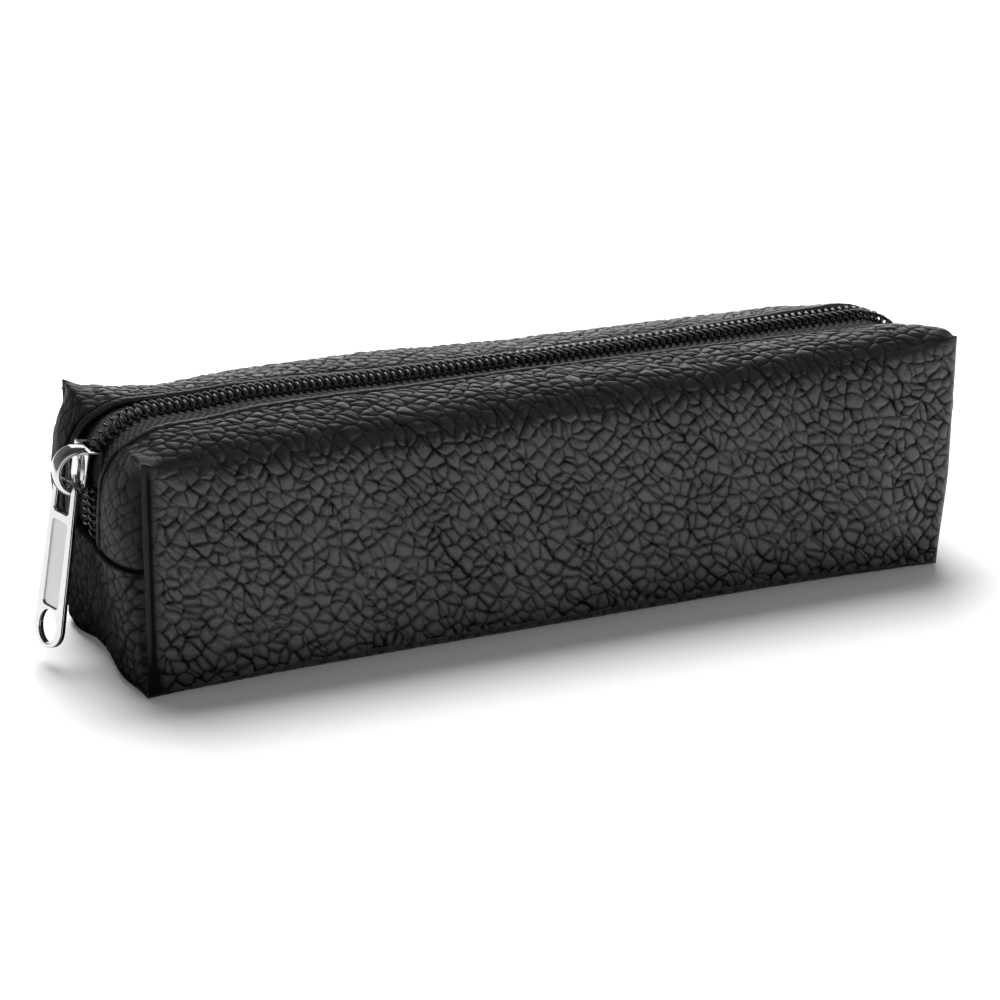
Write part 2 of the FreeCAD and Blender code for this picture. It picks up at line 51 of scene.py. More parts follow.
import bpy
import numpy as np
from bpy.props import FloatProperty, FloatVectorProperty, PointerProperty
from bpy.types import Operator, Panel, PropertyGroup
from mathutils import Vector

bl_info = {
    "name": "Soft pen case",
    "version": (1, 0, 0),
    "blender": (4, 5, 0),
    "location": "View3D > Sidebar > Pen case",
    "description": "Builds a pebbled leather pen case with a coil zip over its packed frame",
    "category": "Add Mesh",
}

MM = 0.001
FRONT, BACK = -1, 1
LEFT, RIGHT = -1, 1
FACES = (("front", FRONT), ("back", BACK))
ENDS = (("left", LEFT), ("right", RIGHT))

# Millimetres that several pieces share
CASE_CENTRE = (0.0, 0.0, 28.0)
ZIP_HALF_WIDTH = 9.2
RIDGE_REACH = 1.5
TURNED_IN = {FRONT: 4.5, BACK: 9.0}
LINING_DROP = 3.5
STITCH_INSET = 2.3
SLIDER_PLATE = 17.3
EDGE_STEPS = np.array([0.0, 0.25, 0.55, 0.9, 1.3])

# Travel along the zip from an end seam: at the corner's tip, where the top starts, and at mid length
TIP_TRAVEL, TOP_TRAVEL, MIDDLE_TRAVEL = 23.8, 34.8, 122.8

# Painted shade on the ends: share of the leather's shine that they lack, and how much darker their colour is
# painted
END_PAINTED_SHADE = 0.66

# Stops of soft lines, as (place, height) in millimetres
RIDGE_STOPS = {
    FRONT: [(-100, 56.0), (-95, 54.4), (-80, 53.6), (-30, 53.3), (10, 53.9), (50, 54.6), (80, 55.2),
            (94, 56.4), (100, 57.6)],
    BACK: [(-100, 57.2), (-95, 54.8), (-87, 52.8), (-78, 51.6), (-60, 52.8), (-30, 52.8), (-6, 51.4),
           (14, 50.4), (57, 49.7), (78, 49.0), (89, 47.2), (100, 46.0)],
}
ZIP_SAG_STOPS = [(-104, 0), (-79, 0), (-66, 0.7), (-52, 0.4), (-30, -0.4), (30, -1.1), (65, -1.2),
                 (84, -1.4), (93, -1.4), (99, -0.8), (104, 0)]
CORNER_LEAN_STOPS = [(0, -0.8), (25, 1.6), (57, 2.3)]
FOLD_DISTANCE_STOPS = [(0, 9.6), (14, 9.9), (28, 10.2), (40, 9.4), (60, 7.9), (85, 6.6), (MIDDLE_TRAVEL, 5.9)]
FOLD_RADIUS_STOPS = [(0, 16.2), (12.8, 15.4), (24, 14.9), (TOP_TRAVEL, 14.6), (MIDDLE_TRAVEL, 14.6)]
PILLOW_STOPS = [(0, 1.4), (9, 2.0), (16, 1.6), (TIP_TRAVEL, -0.2), (TOP_TRAVEL, 0.1), (60, 0.2),
                (MIDDLE_TRAVEL, 0.3)]

# One turn of the coil: share of the turn, distance from the middle and height over the tape
COIL_LOOP = np.array([(0.00, 3.0, 0.40), (0.02, 3.15, 0.9), (0.06, 3.0, 1.42), (0.14, 2.4, 1.72),
                      (0.30, 1.2, 1.80), (0.44, 0.1, 1.70), (0.50, -0.55, 1.38), (0.53, -0.72, 1.0),
                      (0.56, -0.55, 0.62), (0.64, 0.2, 0.38), (0.80, 1.6, 0.36), (0.94, 2.7, 0.36)])


def length_property(name, description, millimetres):
    """A length that is typed in the scene's own unit."""
    return FloatProperty(name=name, description=description, default=millimetres * MM, min=0.0,
                         unit="LENGTH", precision=4)


def colour_property(name, description, colour):
    """A colour with its own swatch."""
    return FloatVectorProperty(name=name, description=description, default=colour, size=3, min=0.0,
                               max=1.0, subtype="COLOR")


class PenCaseSizes(PropertyGroup):
    """Sizes of the case that the leather, the zip and the slider share."""

    case_length: length_property("Case length", "Distance between the two end seams", 200.0)
    case_width: length_property("Case width", "Distance between the front and back ridges", 56.0)
    seam_height: length_property("End seam height", "Height of the level seam on each end", 30.0)
    leather: length_property("Leather", "Thickness of the leather", 1.4)
    edge_roll: length_property("Edge roll", "How far a sewn edge rounds over", 0.6)
    corner_radius: length_property("Zip corner radius", "Radius on which the tape turns down", 14.0)
    corner_x: length_property("Zip corner centre", "Distance of the turn's centre from the middle", 88.0)
    corner_z: length_property("Zip corner height", "Height of the turn's centre", 42.8)
    tooth_pitch: length_property("Coil pitch", "Distance between two turns of the coil", 1.8)
    filament: length_property("Filament", "Thickness of the coil's nylon", 0.68)
    stitch_pitch: length_property("Stitch pitch", "Distance between two stitches", 4.8)
    stitch_length: length_property("Stitch length", "Visible length of one stitch", 3.8)
    thread: length_property("Thread", "Thickness of the sewing thread", 0.45)
    pebble: length_property("Pebble", "Size of one pebble of the grain", 3.0)
    grain_depth: length_property("Grain depth", "Depth of the creases between pebbles", 0.40)


class PenCaseColours(PropertyGroup):
    """Colours of the finishes."""

    leather: colour_property("Leather", "Top of the pebbled grain", (0.012, 0.012, 0.0122))
    # Painted shade: this dark colour paints the shade in the grain's creases, and the shade on the ends, the
    # edges and the bottom bend
    crease_and_shade: colour_property("Crease", "Creases between the pebbles", (0.0022, 0.0022, 0.0022))
    tape: colour_property("Zip tape", "Woven tape", (0.042, 0.042, 0.044))
    coil: colour_property("Coil", "Nylon of the coil", (0.014, 0.014, 0.015))
    lining: colour_property("Lining", "Woven lining", (0.020, 0.020, 0.023))
    metal: colour_property("Slider metal", "Bright plated metal", (0.66, 0.66, 0.67))


def sizes():
    """The shared sizes in millimetres."""
    group = bpy.context.scene.pen_case_sizes
    return {key: getattr(group, key) / MM for key in PenCaseSizes.__annotations__}


def colour(key):
    """One of the finishes' colours with full opacity."""
    return (*getattr(bpy.context.scene.pen_case_colours, key), 1.0)


def toned(tone, factor):
    """A colour made lighter or darker."""
    return tuple(min(part * factor, 1.0) for part in tone[:3]) + (1.0,)


# Curves that shape the pieces

def smooth(share):
    """A share from 0 to 1 that starts and ends level."""
    return share * share * (3.0 - 2.0 * share)


def ease(low, high, position):
    """A smooth step from 0 to 1."""
    return smooth(np.clip((position - low) / (high - low), 0.0, 1.0))


def bell(position, middle, width):
    """A soft bump that is 1 at its middle."""
    return np.exp(-((position - middle) / width) ** 2)


def squared_off(wave, power):
    """A wave from -1 to 1 with fuller crests."""
    return np.sign(wave) * np.abs(wave) ** power


def rounded_over(distance, roll):
    """How far a surface stands out at a distance from its rounded edge: 45 degrees at the edge itself."""
    return roll * (1.0 - np.exp(-np.maximum(distance, 0.0) / roll))


def soft_line(position, stops):
    """A smooth line through (position, height) stops."""
    places, heights = np.array(stops, float).T
    position = np.clip(position, places[0], places[-1])
    index = np.clip(np.searchsorted(places, position, side="right") - 1, 0, len(places) - 2)
    share = (position - places[index]) / (places[index + 1] - places[index])
    return heights[index] + (heights[index + 1] - heights[index]) * 0.5 * (share + smooth(share))


def arc_points(centre, radius, first, last, count):
    """Points on an arc between two angles in degrees."""
    angle = np.radians(np.linspace(first, last, count))
    return [(centre[0] + radius * math.cos(a), centre[1] + radius * math.sin(a)) for a in angle]


def edged(half, inset, count):
    """Places from one sewn edge to the other, closer together at both edges."""
    inner = np.linspace(-half + inset, half - inset, count)
    return np.concatenate([-half + EDGE_STEPS, inner[1:-1], half - EDGE_STEPS[::-1]])


def path_lengths(path):
    """Length of a path up to each of its points."""
    return np.append(0.0, np.cumsum(np.linalg.norm(np.diff(path, axis=0), axis=1)))


def stacked(x, y, z):
    """Points from their three coordinates."""
    return np.stack(np.broadcast_arrays(x, y, z), axis=-1)


def unit(vectors):
    """Vectors brought to a length of 1."""
    return vectors / np.linalg.norm(vectors, axis=-1, keepdims=True)


def steps(length, pitch):
    return max(3, int(round(length / (pitch * 1.0))) + 1)


# The leather's grain

def lattice(column, row, seed):
    """Repeatable numbers from 0 to 1 on a square lattice."""
    mixed = (column.astype(np.int64) * 374761393 + row.astype(np.int64) * 668265263
             + seed * 974634541) & 0x7FFFFFFF
    mixed = ((mixed ^ (mixed >> 13)) * 1274126177) & 0x7FFFFFFF
    return ((mixed ^ (mixed >> 16)) & 0xFFFF) / 65535.0


def soft_noise(across, up, seed):
    """Smooth noise from -1 to 1."""
    column, row = np.floor(across), np.floor(up)
    share_x, share_y = smooth(across - column), smooth(up - row)
    low = lattice(column, row, seed) * (1 - share_x) + lattice(column + 1, row, seed) * share_x
    high = lattice(column, row + 1, seed) * (1 - share_x) + lattice(column + 1, row + 1, seed) * share_x
    return 2.0 * (low * (1 - share_y) + high * share_y) - 1.0


def border_distance(across, up, seed):
    """How far a point lies from the border of its own pebble, 0 on the border."""
    column, row = np.floor(across), np.floor(up)
    nearest = np.full(across.shape, 9.0)
    second = np.full(across.shape, 9.0)
    for step_x in (-1, 0, 1):
        for step_y in (-1, 0, 1):
            place_x, place_y = column + step_x, row + step_y
            centre_x = place_x + 0.5 + 0.9 * (lattice(place_x, place_y, seed) - 0.5)
            centre_y = place_y + 0.5 + 0.8 * (lattice(place_x, place_y, seed + 7) - 0.5)
            gap = np.hypot(across - centre_x, up - centre_y)
            second = np.minimum(second, np.maximum(gap, nearest))
            nearest = np.minimum(nearest, gap)
    return second - nearest


def slanted(across, up, lean):
    """Places along and aside of a direction that leans down to the right."""
    along = across * math.cos(lean) - up * math.sin(lean)
    aside = across * math.sin(lean) + up * math.cos(lean)
    return along, aside


def long_creases(across, up, lean, spacing, seed):
    """A family of long wavy creases: how far a point lies from the nearest and how strong that one is."""
    along, aside = slanted(across, up, lean)
    level = aside / spacing + 0.42 * soft_noise(along / (1.9 * spacing), aside / (1.5 * spacing), seed)
    nearest = np.round(level)
    strength = 0.62 + 0.38 * soft_noise(along / (2.6 * spacing), nearest * 5.3, seed + 1)
    return np.abs(level - nearest) * spacing, strength


def drifted(place, across, up, seed):
    """A place moved a little aside, so that pebbles lie unevenly."""
    broad = soft_noise(across / 6.0, up / 6.0, seed)
    narrow = soft_noise(across / 1.7, up / 1.7, seed + 4)
    return place + 0.8 * broad + 0.3 * narrow


def pebbled_grain(across, up, lean=0.85):
    """Height of the grain in millimetres and how deep in a crease each point lies, 0 to 1.

    Many-sided pebbles lie between long creases that lean down to the right, with fine wrinkles on them.
    """
    size = sizes()
    cell = size["pebble"]
    across, up = np.broadcast_arrays(across, up)
    drift_x = drifted(across, across, up, 3)
    drift_y = drifted(up, across, up, 5)
    along, aside = slanted(drift_x, drift_y, lean)
    large = border_distance(along / (1.15 * cell), aside / (0.95 * cell), 11)
    small = border_distance(drift_x / (0.45 * cell), drift_y / (0.45 * cell), 53)
    gap, strength = long_creases(drift_x, drift_y, lean, 1.4 * cell, 21)
    firm = 0.75 + 0.25 * soft_noise(across / 3.0, up / 3.0, 47)
    patch = 0.5 + 0.5 * soft_noise(across / 4.0, up / 4.0, 43)
    crease_and_shade = firm * np.exp(-large / 0.11) + 0.85 * strength * np.exp(-(gap / 0.22) ** 1.3)
    crease_and_shade = np.clip(crease_and_shade + 0.3 * patch * np.exp(-small / 0.13), 0, 1)
    dome = ease(-0.3, 0.8, large)
    return size["grain_depth"] * (0.85 * dome - 0.9 * crease_and_shade), crease_and_shade


# The case's edges

def ridge_height(position, face):
    """Height of the line where a wall turns into a lip, with a tip at each corner."""
    return soft_line(position, RIDGE_STOPS[face])


def ridge_roll(distance, position, face):
    """How far a wall or lip stands out at a distance from its ridge, fuller between the corners."""
    fullness = 2.0 if face == FRONT else 0.5
    return rounded_over(distance, 0.7 + fullness * ease(100.0, 80.0, np.abs(position)))


def ridge_fade(distance, position):
    """Share of the grain near a ridge: it runs over the ridge, and stops short of it at the corners."""
    return 1.0 - np.exp(-distance / RIDGE_REACH) * ease(82.0, 87.0, np.abs(position))


def corner_lean(height, side):
    """How far a corner seam leans outwards at a height, on the right end alone."""
    return soft_line(height, CORNER_LEAN_STOPS) * (side > 0)


def leaned(position, height):
    """A place along the wrap, drawn out with its corner seam."""
    return position + corner_lean(height, position) * ease(70.0, 100.0, np.abs(position))


def tucked(distance):
    """How far an end stands out at a distance from its corner seam, tucked in behind the wall's edge."""
    dip = 1.5 * bell(distance, 1.1, 0.9) * ease(0, 0.6, distance)
    return 0.9 * ease(1.0, 6.0, distance) - dip


def foot_share(lateral):
    """How near a place on the bottom edge of an end is to a corner, 0 at the middle and 1 at the corner."""
    return np.clip(np.abs(lateral) / (sizes()["case_width"] / 2), 0.0, 1.0)


def foot_swell(lateral):
    """How far the bottom edge of an end bulges out between its two corners."""
    swell = 1.7 * bell(lateral, -15.0, 8.0) + 3.9 * ease(6.0, 22.0, lateral)
    return swell * (1.0 - foot_share(lateral) ** 2)


def foot_arch(lateral):
    """How far the bottom edge of an end is drawn up between its two corners."""
    share = foot_share(lateral)
    return 1.5 * bell(share, 0.0, 0.4) * (1.0 - share ** 2)


# The zip's path and the strips that follow it

def zip_sag(position):
    """How far the zip hangs below its straight line along the top."""
    return soft_line(position, ZIP_SAG_STOPS)


def zip_lengths():
    """Lengths of half the zip: up an end, round its corner and on to the middle of the top."""
    size = sizes()
    return size["corner_z"] - size["seam_height"], size["corner_radius"] * math.pi / 2, size["corner_x"]


def zip_travel():
    """Length of the zip from an end seam to the middle of the top."""
    return sum(zip_lengths())


def zip_turn(travel):
    """How much of the corner is behind a point of the zip, 0 on the end and 1 on the top."""
    rise, bend, _ = zip_lengths()
    return np.clip((travel - rise) / bend, 0.0, 1.0)


def zip_point(travel, radius, lateral, side):
    """A point beside the zip: travel from the end seam, radius about the corner, lateral from the middle."""
    size = sizes()
    rise, bend, _ = zip_lengths()
    angle = zip_turn(travel) * math.pi / 2
    centre_x = size["corner_x"] - np.clip(travel - rise - bend, 0.0, None)
    centre_z = size["seam_height"] + np.clip(travel, None, rise)
    x = side * (centre_x + radius * np.cos(angle))
    z = centre_z + radius * np.sin(angle) + zip_sag(x)
    return stacked(x, lateral, z)


def corner_line(travel, face, side):
    """The seam that a strip starts from: up the corner, round its tip and along the ridge."""
    size = sizes()
    half_length = size["case_length"] / 2
    rise, bend, _ = zip_lengths()
    turn = zip_turn(travel)
    x = half_length - (half_length - size["corner_x"]) * np.clip(turn * 2 - 1, 0, 1)
    x = x - np.clip(travel - rise - bend, 0, None)
    tip = float(ridge_height(np.array(side * half_length), face))
    climb = np.where(turn > 0, size["corner_z"] + (tip - size["corner_z"]) * np.clip(turn * 2, 0, 1),
                     size["seam_height"] + travel)
    z = np.where(turn < 0.5, climb, ridge_height(side * x, face))
    x = side * x + corner_lean(z, side) * ease(70.0, 100.0, x)
    return stacked(x, face * size["case_width"] / 2, z)


def fold_distance(travel):
    """Distance of the leather's folded edge from the middle of the zip."""
    return soft_line(travel, FOLD_DISTANCE_STOPS)


def fold_radius(travel, face):
    """Height of the leather's folded edge over the axis of the zip's corner; the back one hangs lower."""
    drop = 0.6 * ease(0.45, 1.0, zip_turn(travel)) * (face == BACK)
    return soft_line(travel, FOLD_RADIUS_STOPS) - drop


def fold_point(travel, face, side, over=0.0):
    """A point over the leather's folded edge."""
    return zip_point(travel, fold_radius(travel, face) + over, face * fold_distance(travel), side)


def end_profile(lateral):
    """How far an end stands out along its level seam."""
    size = sizes()
    half_width = size["case_width"] / 2
    share = np.minimum((half_width - np.abs(lateral)) / (half_width - ZIP_HALF_WIDTH), 1.0)
    reach = float(fold_radius(np.array(0.0), FRONT)) - (size["case_length"] / 2 - size["corner_x"])
    sleeve = reach * share + reach / math.pi * np.sin(math.pi * share)
    return sleeve - 0.4 * np.clip(1 - (lateral / ZIP_HALF_WIDTH) ** 2, 0.0, 1.0)


# Meshes

def grid_normals(points):
    """Directions square to a grid of points."""
    normals = np.cross(np.gradient(points, axis=0), np.gradient(points, axis=1))
    return normals / np.maximum(np.linalg.norm(normals, axis=2, keepdims=True), 1e-9)


def looks_away(normals, points, centre):
    """Whether the directions of a grid point away from a centre."""
    return np.sum(normals * (points - np.asarray(centre))) > 0.0


def outward_normals(points, centre=CASE_CENTRE):
    """Directions square to a grid of points, on the side away from a centre."""
    normals = grid_normals(points)
    return normals if looks_away(normals, points, centre) else -normals


def add_piece(name, mesh):
    """Put a mesh in the scene as a piece of the case."""
    piece = bpy.data.objects.new(name, mesh)
    bpy.context.scene.collection.objects.link(piece)
    return piece


class PieceMesh:
    """Grids and tubes gathered into one object, in millimetres."""

    def __init__(self):
        self.points = []
        self.quads = []
        self.finish_index = []
        self.crease_and_shade = []
        self.place = []
        self.count = 0

    def keep(self, points, place, crease_and_shade, finish, wrap, flip):
        """Keep a grid of points, the faces between them and what the finish reads at each point."""
        rows, columns = points.shape[:2]
        index = np.arange(rows * columns).reshape(rows, columns) + self.count
        if wrap:
            index = np.concatenate([index, index[:, :1]], axis=1)
        quads = np.stack([index[:-1, :-1], index[:-1, 1:], index[1:, 1:], index[1:, :-1]], axis=-1)
        quads = (quads[..., ::-1] if flip else quads).reshape(-1, 4)
        self.points.append(points.reshape(-1, 3))
        self.quads.append(quads)
        self.finish_index.append(np.full(len(quads), finish))
        self.place.append(place.reshape(-1, 3))
        self.crease_and_shade.append(np.zeros(rows * columns) if crease_and_shade is None else crease_and_shade.ravel())
        self.count += rows * columns

    def add_grid(self, points, place, crease_and_shade=None, finish=0, centre=CASE_CENTRE, wrap=False):
        """Join a grid of points whose faces look away from a centre."""
        self.keep(points, place, crease_and_shade, finish, wrap, looks_away(grid_normals(points), points, centre))

    def add_tube(self, path, radius, sides):
        """Join a round rod that follows a path, with closed ends."""
        tangent = unit(np.gradient(path, axis=0))
        normal = np.cross(tangent[0], (0.31, 0.87, 0.39))
        aside = []
        for direction in tangent:
            normal = unit(normal - direction * np.dot(normal, direction))
            aside.append(normal)
        aside = np.array(aside)
        upward = np.cross(tangent, aside)
        angle = np.linspace(0, 2 * math.pi, sides, endpoint=False)[None, :, None]
        rim = np.cos(angle) * aside[:, None] + np.sin(angle) * upward[:, None]
        rings = path[:, None] + np.broadcast_to(radius, len(path))[:, None, None] * rim
        first, last = (np.broadcast_to(path[end], (1, sides, 3)) for end in (0, -1))
        place = stacked(path_lengths(path)[:, None], angle[..., 0], 0.0)
        place = np.concatenate([place[:1], place, place[-1:]])
        self.keep(np.concatenate([first, rings, last]), place, None, 0, True, False)

    def make(self, name, finishes):
        """Make the object and give it its finishes."""
        points = np.concatenate(self.points) * MM
        quads = np.concatenate(self.quads)
        mesh = bpy.data.meshes.new(name)
        mesh.vertices.add(len(points))
        mesh.vertices.foreach_set("co", points.astype(np.float32).ravel())
        mesh.loops.add(quads.size)
        mesh.loops.foreach_set("vertex_index", quads.astype(np.int32).ravel())
        mesh.polygons.add(len(quads))
        mesh.polygons.foreach_set("loop_start", np.arange(0, quads.size, 4, dtype=np.int32))
        mesh.polygons.foreach_set("material_index", np.concatenate(self.finish_index).astype(np.int32))
        for finish in finishes:
            mesh.materials.append(finish)
        crease_and_shade = mesh.attributes.new("crease_and_shade", "FLOAT", "POINT")
        crease_and_shade.data.foreach_set("value", np.concatenate(self.crease_and_shade).astype(np.float32))
        place = mesh.attributes.new("place", "FLOAT_VECTOR", "POINT")
        place.data.foreach_set("vector", np.concatenate(self.place).astype(np.float32).ravel())
        mesh.update(calc_edges=True)
        mesh.shade_smooth()
        return add_piece(name, mesh)


# Finishes

def new_finish(name):
    """A new material, its nodes and its shader."""
    material = bpy.data.materials.new(name)
    material.use_nodes = True
    tree = material.node_tree
    return material, tree, tree.nodes["Principled BSDF"]


def add_node(tree, kind, settings, inputs):
    """A node with its settings, and its inputs set or linked."""
    node = tree.nodes.new(kind)
    for key, setting in settings.items():
        setattr(node, key, setting)
    for key, source in inputs.items():
        if isinstance(source, bpy.types.NodeSocket):
            tree.links.new(source, node.inputs[key])
        else:
            node.inputs[key].default_value = source
    return node


def mesh_value(tree, name, output):
    """What a mesh keeps for its finish at each point."""
    return add_node(tree, "ShaderNodeAttribute", {"attribute_name": name}, {}).outputs[output]


def place_of(tree):
    """The place that a mesh keeps for its own pattern, in millimetres."""
    return mesh_value(tree, "place", "Vector")


def maths(tree, operation, *inputs, clamp=False):
    """The outcome of one operation on values or sockets."""
    settings = {"operation": operation, "use_clamp": clamp}
    return add_node(tree, "ShaderNodeMath", settings, dict(enumerate(inputs))).outputs[0]


def parts_of(tree, vector):
    """A vector's three coordinates."""
    return add_node(tree, "ShaderNodeSeparateXYZ", {}, {"Vector": vector}).outputs


def noise(tree, place, scale, detail, roughness=0.5):
    """Cloudy noise from 0 to 1."""
    inputs = {"Vector": place, "Scale": scale, "Detail": detail, "Roughness": roughness}
    return add_node(tree, "ShaderNodeTexNoise", {}, inputs).outputs["Fac"]


def blend_colours(tree, share, first, second):
    """A mix of two colours by a share."""
    inputs = {0: share, 6: first, 7: second}
    return add_node(tree, "ShaderNodeMix", {"data_type": "RGBA"}, inputs).outputs[2]


def spread(tree, source, low, high, new_low, new_high):
    """A value moved from one range to another."""
    inputs = dict(enumerate((source, low, high, new_low, new_high)))
    return add_node(tree, "ShaderNodeMapRange", {}, inputs).outputs[0]


def add_bump(tree, shader, height, strength, distance):
    """Give a shader fine relief; the distance is in metres."""
    inputs = {"Strength": strength, "Distance": distance, "Height": height}
    bump = add_node(tree, "ShaderNodeBump", {}, inputs)
    tree.links.new(bump.outputs["Normal"], shader.inputs["Normal"])


def leather_finish():
    """Pebbled black leather: creases and shaded places are painted dark and matt as painted shade, with a
    soft shine on the pebbles.
    """
    if "pebbled_leather" in bpy.data.materials:
        return bpy.data.materials["pebbled_leather"]
    material, tree, shader = new_finish("pebbled_leather")
    crease_and_shade = mesh_value(tree, "crease_and_shade", "Fac")
    cloudy = noise(tree, place_of(tree), 0.05, 3.0)
    fine = noise(tree, place_of(tree), 2.6, 4.0, 0.65)
    depth = maths(tree, "MULTIPLY_ADD", cloudy, 0.5, -0.25)
    shade = maths(tree, "ADD", crease_and_shade, depth, clamp=True)
    # Painted shade: the colour turns to the crease colour where the mesh's crease value is high, in the
    # creases and on the shaded ends, edges and bottom
    base = blend_colours(tree, shade, colour("leather"), colour("crease_and_shade"))
    tree.links.new(base, shader.inputs["Base Color"])
    dull = maths(tree, "MULTIPLY_ADD", crease_and_shade, 0.25, 0.27)
    tree.links.new(maths(tree, "MULTIPLY_ADD", fine, 0.16, dull), shader.inputs["Roughness"])
    tree.links.new(spread(tree, shade, 0.0, 0.9, 0.78, 0.05), shader.inputs["Specular IOR Level"])
    lines = add_node(tree, "ShaderNodeTexVoronoi", {"feature": "DISTANCE_TO_EDGE"},
                     {"Vector": place_of(tree), "Scale": 0.75})
    score = spread(tree, lines.outputs["Distance"], 0.0, 0.09, 0.0, 1.0)
    add_bump(tree, shader, maths(tree, "MULTIPLY_ADD", fine, 0.8, score), 0.5, 0.00007)
    return material


def woven_finish(name, key, pitch, roughness, rib):
    """A plain or ribbed weave with crossing threads."""
    if name in bpy.data.materials:
        return bpy.data.materials[name]
    material, tree, shader = new_finish(name)
    place = place_of(tree)
    parts = parts_of(tree, place)
    threads = []
    for axis, offset in (("X", 0.0), ("Y", math.pi / 2)):
        angle = maths(tree, "MULTIPLY_ADD", parts[axis], 2 * math.pi / pitch, offset)
        threads.append(maths(tree, "SINE", angle))
    zigzag = maths(tree, "PINGPONG", parts["Y"], pitch * rib)
    slant = maths(tree, "MULTIPLY_ADD", zigzag, 1.1, parts["X"])
    twill = maths(tree, "SINE", maths(tree, "MULTIPLY", slant, math.pi / pitch))
    crossed = maths(tree, "MULTIPLY", *threads)
    lift = spread(tree, maths(tree, "MULTIPLY_ADD", twill, 0.8, crossed), -1.6, 1.6, 0.0, 1.0)
    fuzz = noise(tree, place, 1.2, 3.0)
    # Painted light and shade: the raised threads are painted lighter and the gaps between them darker
    shade = maths(tree, "MULTIPLY", lift, spread(tree, fuzz, 0.2, 0.8, 0.6, 1.0))
    base = blend_colours(tree, shade, toned(colour(key), 0.12), toned(colour(key), 2.2))
    tree.links.new(base, shader.inputs["Base Color"])
    rough = spread(tree, fuzz, 0.0, 1.0, roughness - 0.1, roughness + 0.1)
    tree.links.new(rough, shader.inputs["Roughness"])
    add_bump(tree, shader, lift, 0.9, 0.0002)
    shader.inputs["Specular IOR Level"].default_value = 0.2
    return material


def lining_finish():
    """The woven lining."""
    return woven_finish("woven_lining", "lining", 0.8, 0.75, 50.0)


def coil_finish():
    """Black nylon with a wet shine."""
    if "coil_nylon" in bpy.data.materials:
        return bpy.data.materials["coil_nylon"]
    material, tree, shader = new_finish("coil_nylon")
    streak = noise(tree, place_of(tree), 0.9, 2.0)
    base = blend_colours(tree, streak, toned(colour("coil"), 0.6), colour("coil"))
    tree.links.new(base, shader.inputs["Base Color"])
    tree.links.new(spread(tree, streak, 0.2, 0.8, 0.08, 0.2), shader.inputs["Roughness"])
    shader.inputs["Specular IOR Level"].default_value = 0.9
    return material


def thread_finish():
    """Twisted black sewing thread."""
    if "sewing_thread" in bpy.data.materials:
        return bpy.data.materials["sewing_thread"]
    material, tree, shader = new_finish("sewing_thread")
    parts = parts_of(tree, place_of(tree))
    ply = maths(tree, "SINE", maths(tree, "MULTIPLY_ADD", parts["X"], 7.0, parts["Y"]))
    # Painted light and shade: the ridges of the twist are painted lighter and the grooves between them darker
    base = blend_colours(tree, spread(tree, ply, -1.0, 1.0, 0.0, 1.0), (0.004, 0.004, 0.004, 1.0),
                         (0.022, 0.022, 0.023, 1.0))
    tree.links.new(base, shader.inputs["Base Color"])
    add_bump(tree, shader, ply, 0.6, 0.00008)
    shader.inputs["Roughness"].default_value = 0.55
    return material


def metal_finish(name, lowest, highest):
    """Plated metal between two roughnesses, with faint polishing marks."""
    if name in bpy.data.materials:
        return bpy.data.materials[name]
    material, tree, shader = new_finish(name)
    place = add_node(tree, "ShaderNodeTexCoord", {}, {}).outputs["Object"]
    marks = noise(tree, place, 900.0, 4.0)
    cloud = noise(tree, place, 160.0, 2.0)
    tree.links.new(spread(tree, cloud, 0.3, 0.7, lowest, highest), shader.inputs["Roughness"])
    light = toned(colour("metal"), 1.0 - 0.4 * lowest)
    tree.links.new(blend_colours(tree, cloud, toned(light, 0.86), light), shader.inputs["Base Color"])
    add_bump(tree, shader, marks, 0.06, 0.00005)
    shader.inputs["Metallic"].default_value = 1.0
    return material


def bright_metal():
    """The mirror-like plating of the slider and the pull's frame."""
    return metal_finish("plated_metal", 0.05, 0.12)


# Leather pieces

def wall_section(columns, face):
    """One wall from its ridge to the bottom bend: points, creases with painted shade, and the bend's radius
    and stand.
    """
    size = sizes()
    half_length = size["case_length"] / 2
    x = columns[None, :]
    radius = 0.8 + 3.6 * (1 - np.abs(x / half_length) ** 6)
    top = ridge_height(x, face)
    rows = np.linspace(0, 1, steps(54.0, 0.2 if face == FRONT else 0.4))[:, None]
    z = top + (radius - top) * rows
    from_ridge = top - z
    from_end = half_length - np.abs(x)
    stand = ridge_roll(from_ridge, x, face) * rounded_over(from_end, size["edge_roll"]) / size["edge_roll"]
    crown = np.sin(math.pi * np.clip(z / top, 0, 1)) * (1 - (x / half_length) ** 2)
    slack = soft_noise(x / 38.0, z / 26.0, 51 + face) * ease(0, 10, from_ridge) * ease(0, 14, from_end)
    height, crease_and_shade = pebbled_grain(x, z)
    on_left = ease(0.0, -20.0, x)
    fade = ease(0.9 * on_left, 2.0 + 2.5 * on_left, from_end) * ridge_fade(from_ridge, x)
    fold = bell(from_end, 1.5, 0.4) * ease(0, 4, from_ridge) * on_left
    drawn = soft_noise(x / 7.0, z / 1.5, 57 + face) * bell(from_end, 4.5, 2.5)
    stand = stand + 0.35 * crown + 0.5 * slack - 0.3 * fold + 0.14 * drawn
    lift = math.pi / 4 * np.exp(-from_ridge / RIDGE_REACH)
    y = size["case_width"] / 2 + stand + height * fade * np.cos(lift)
    points = stacked(leaned(x, z), face * y, z + height * fade * np.sin(lift))
    # Painted shade: darker along the left end's edge and towards the bottom of the wall; the fold by the left
    # end is painted darker too
    painted_shade = 0.65 * ease(4.5, 1.0, from_end) * on_left + 0.4 * ease(13.0, 2.0, z)
    return points, np.clip(crease_and_shade * fade + 0.5 * fold + painted_shade, 0, 1), radius, stand[-1]


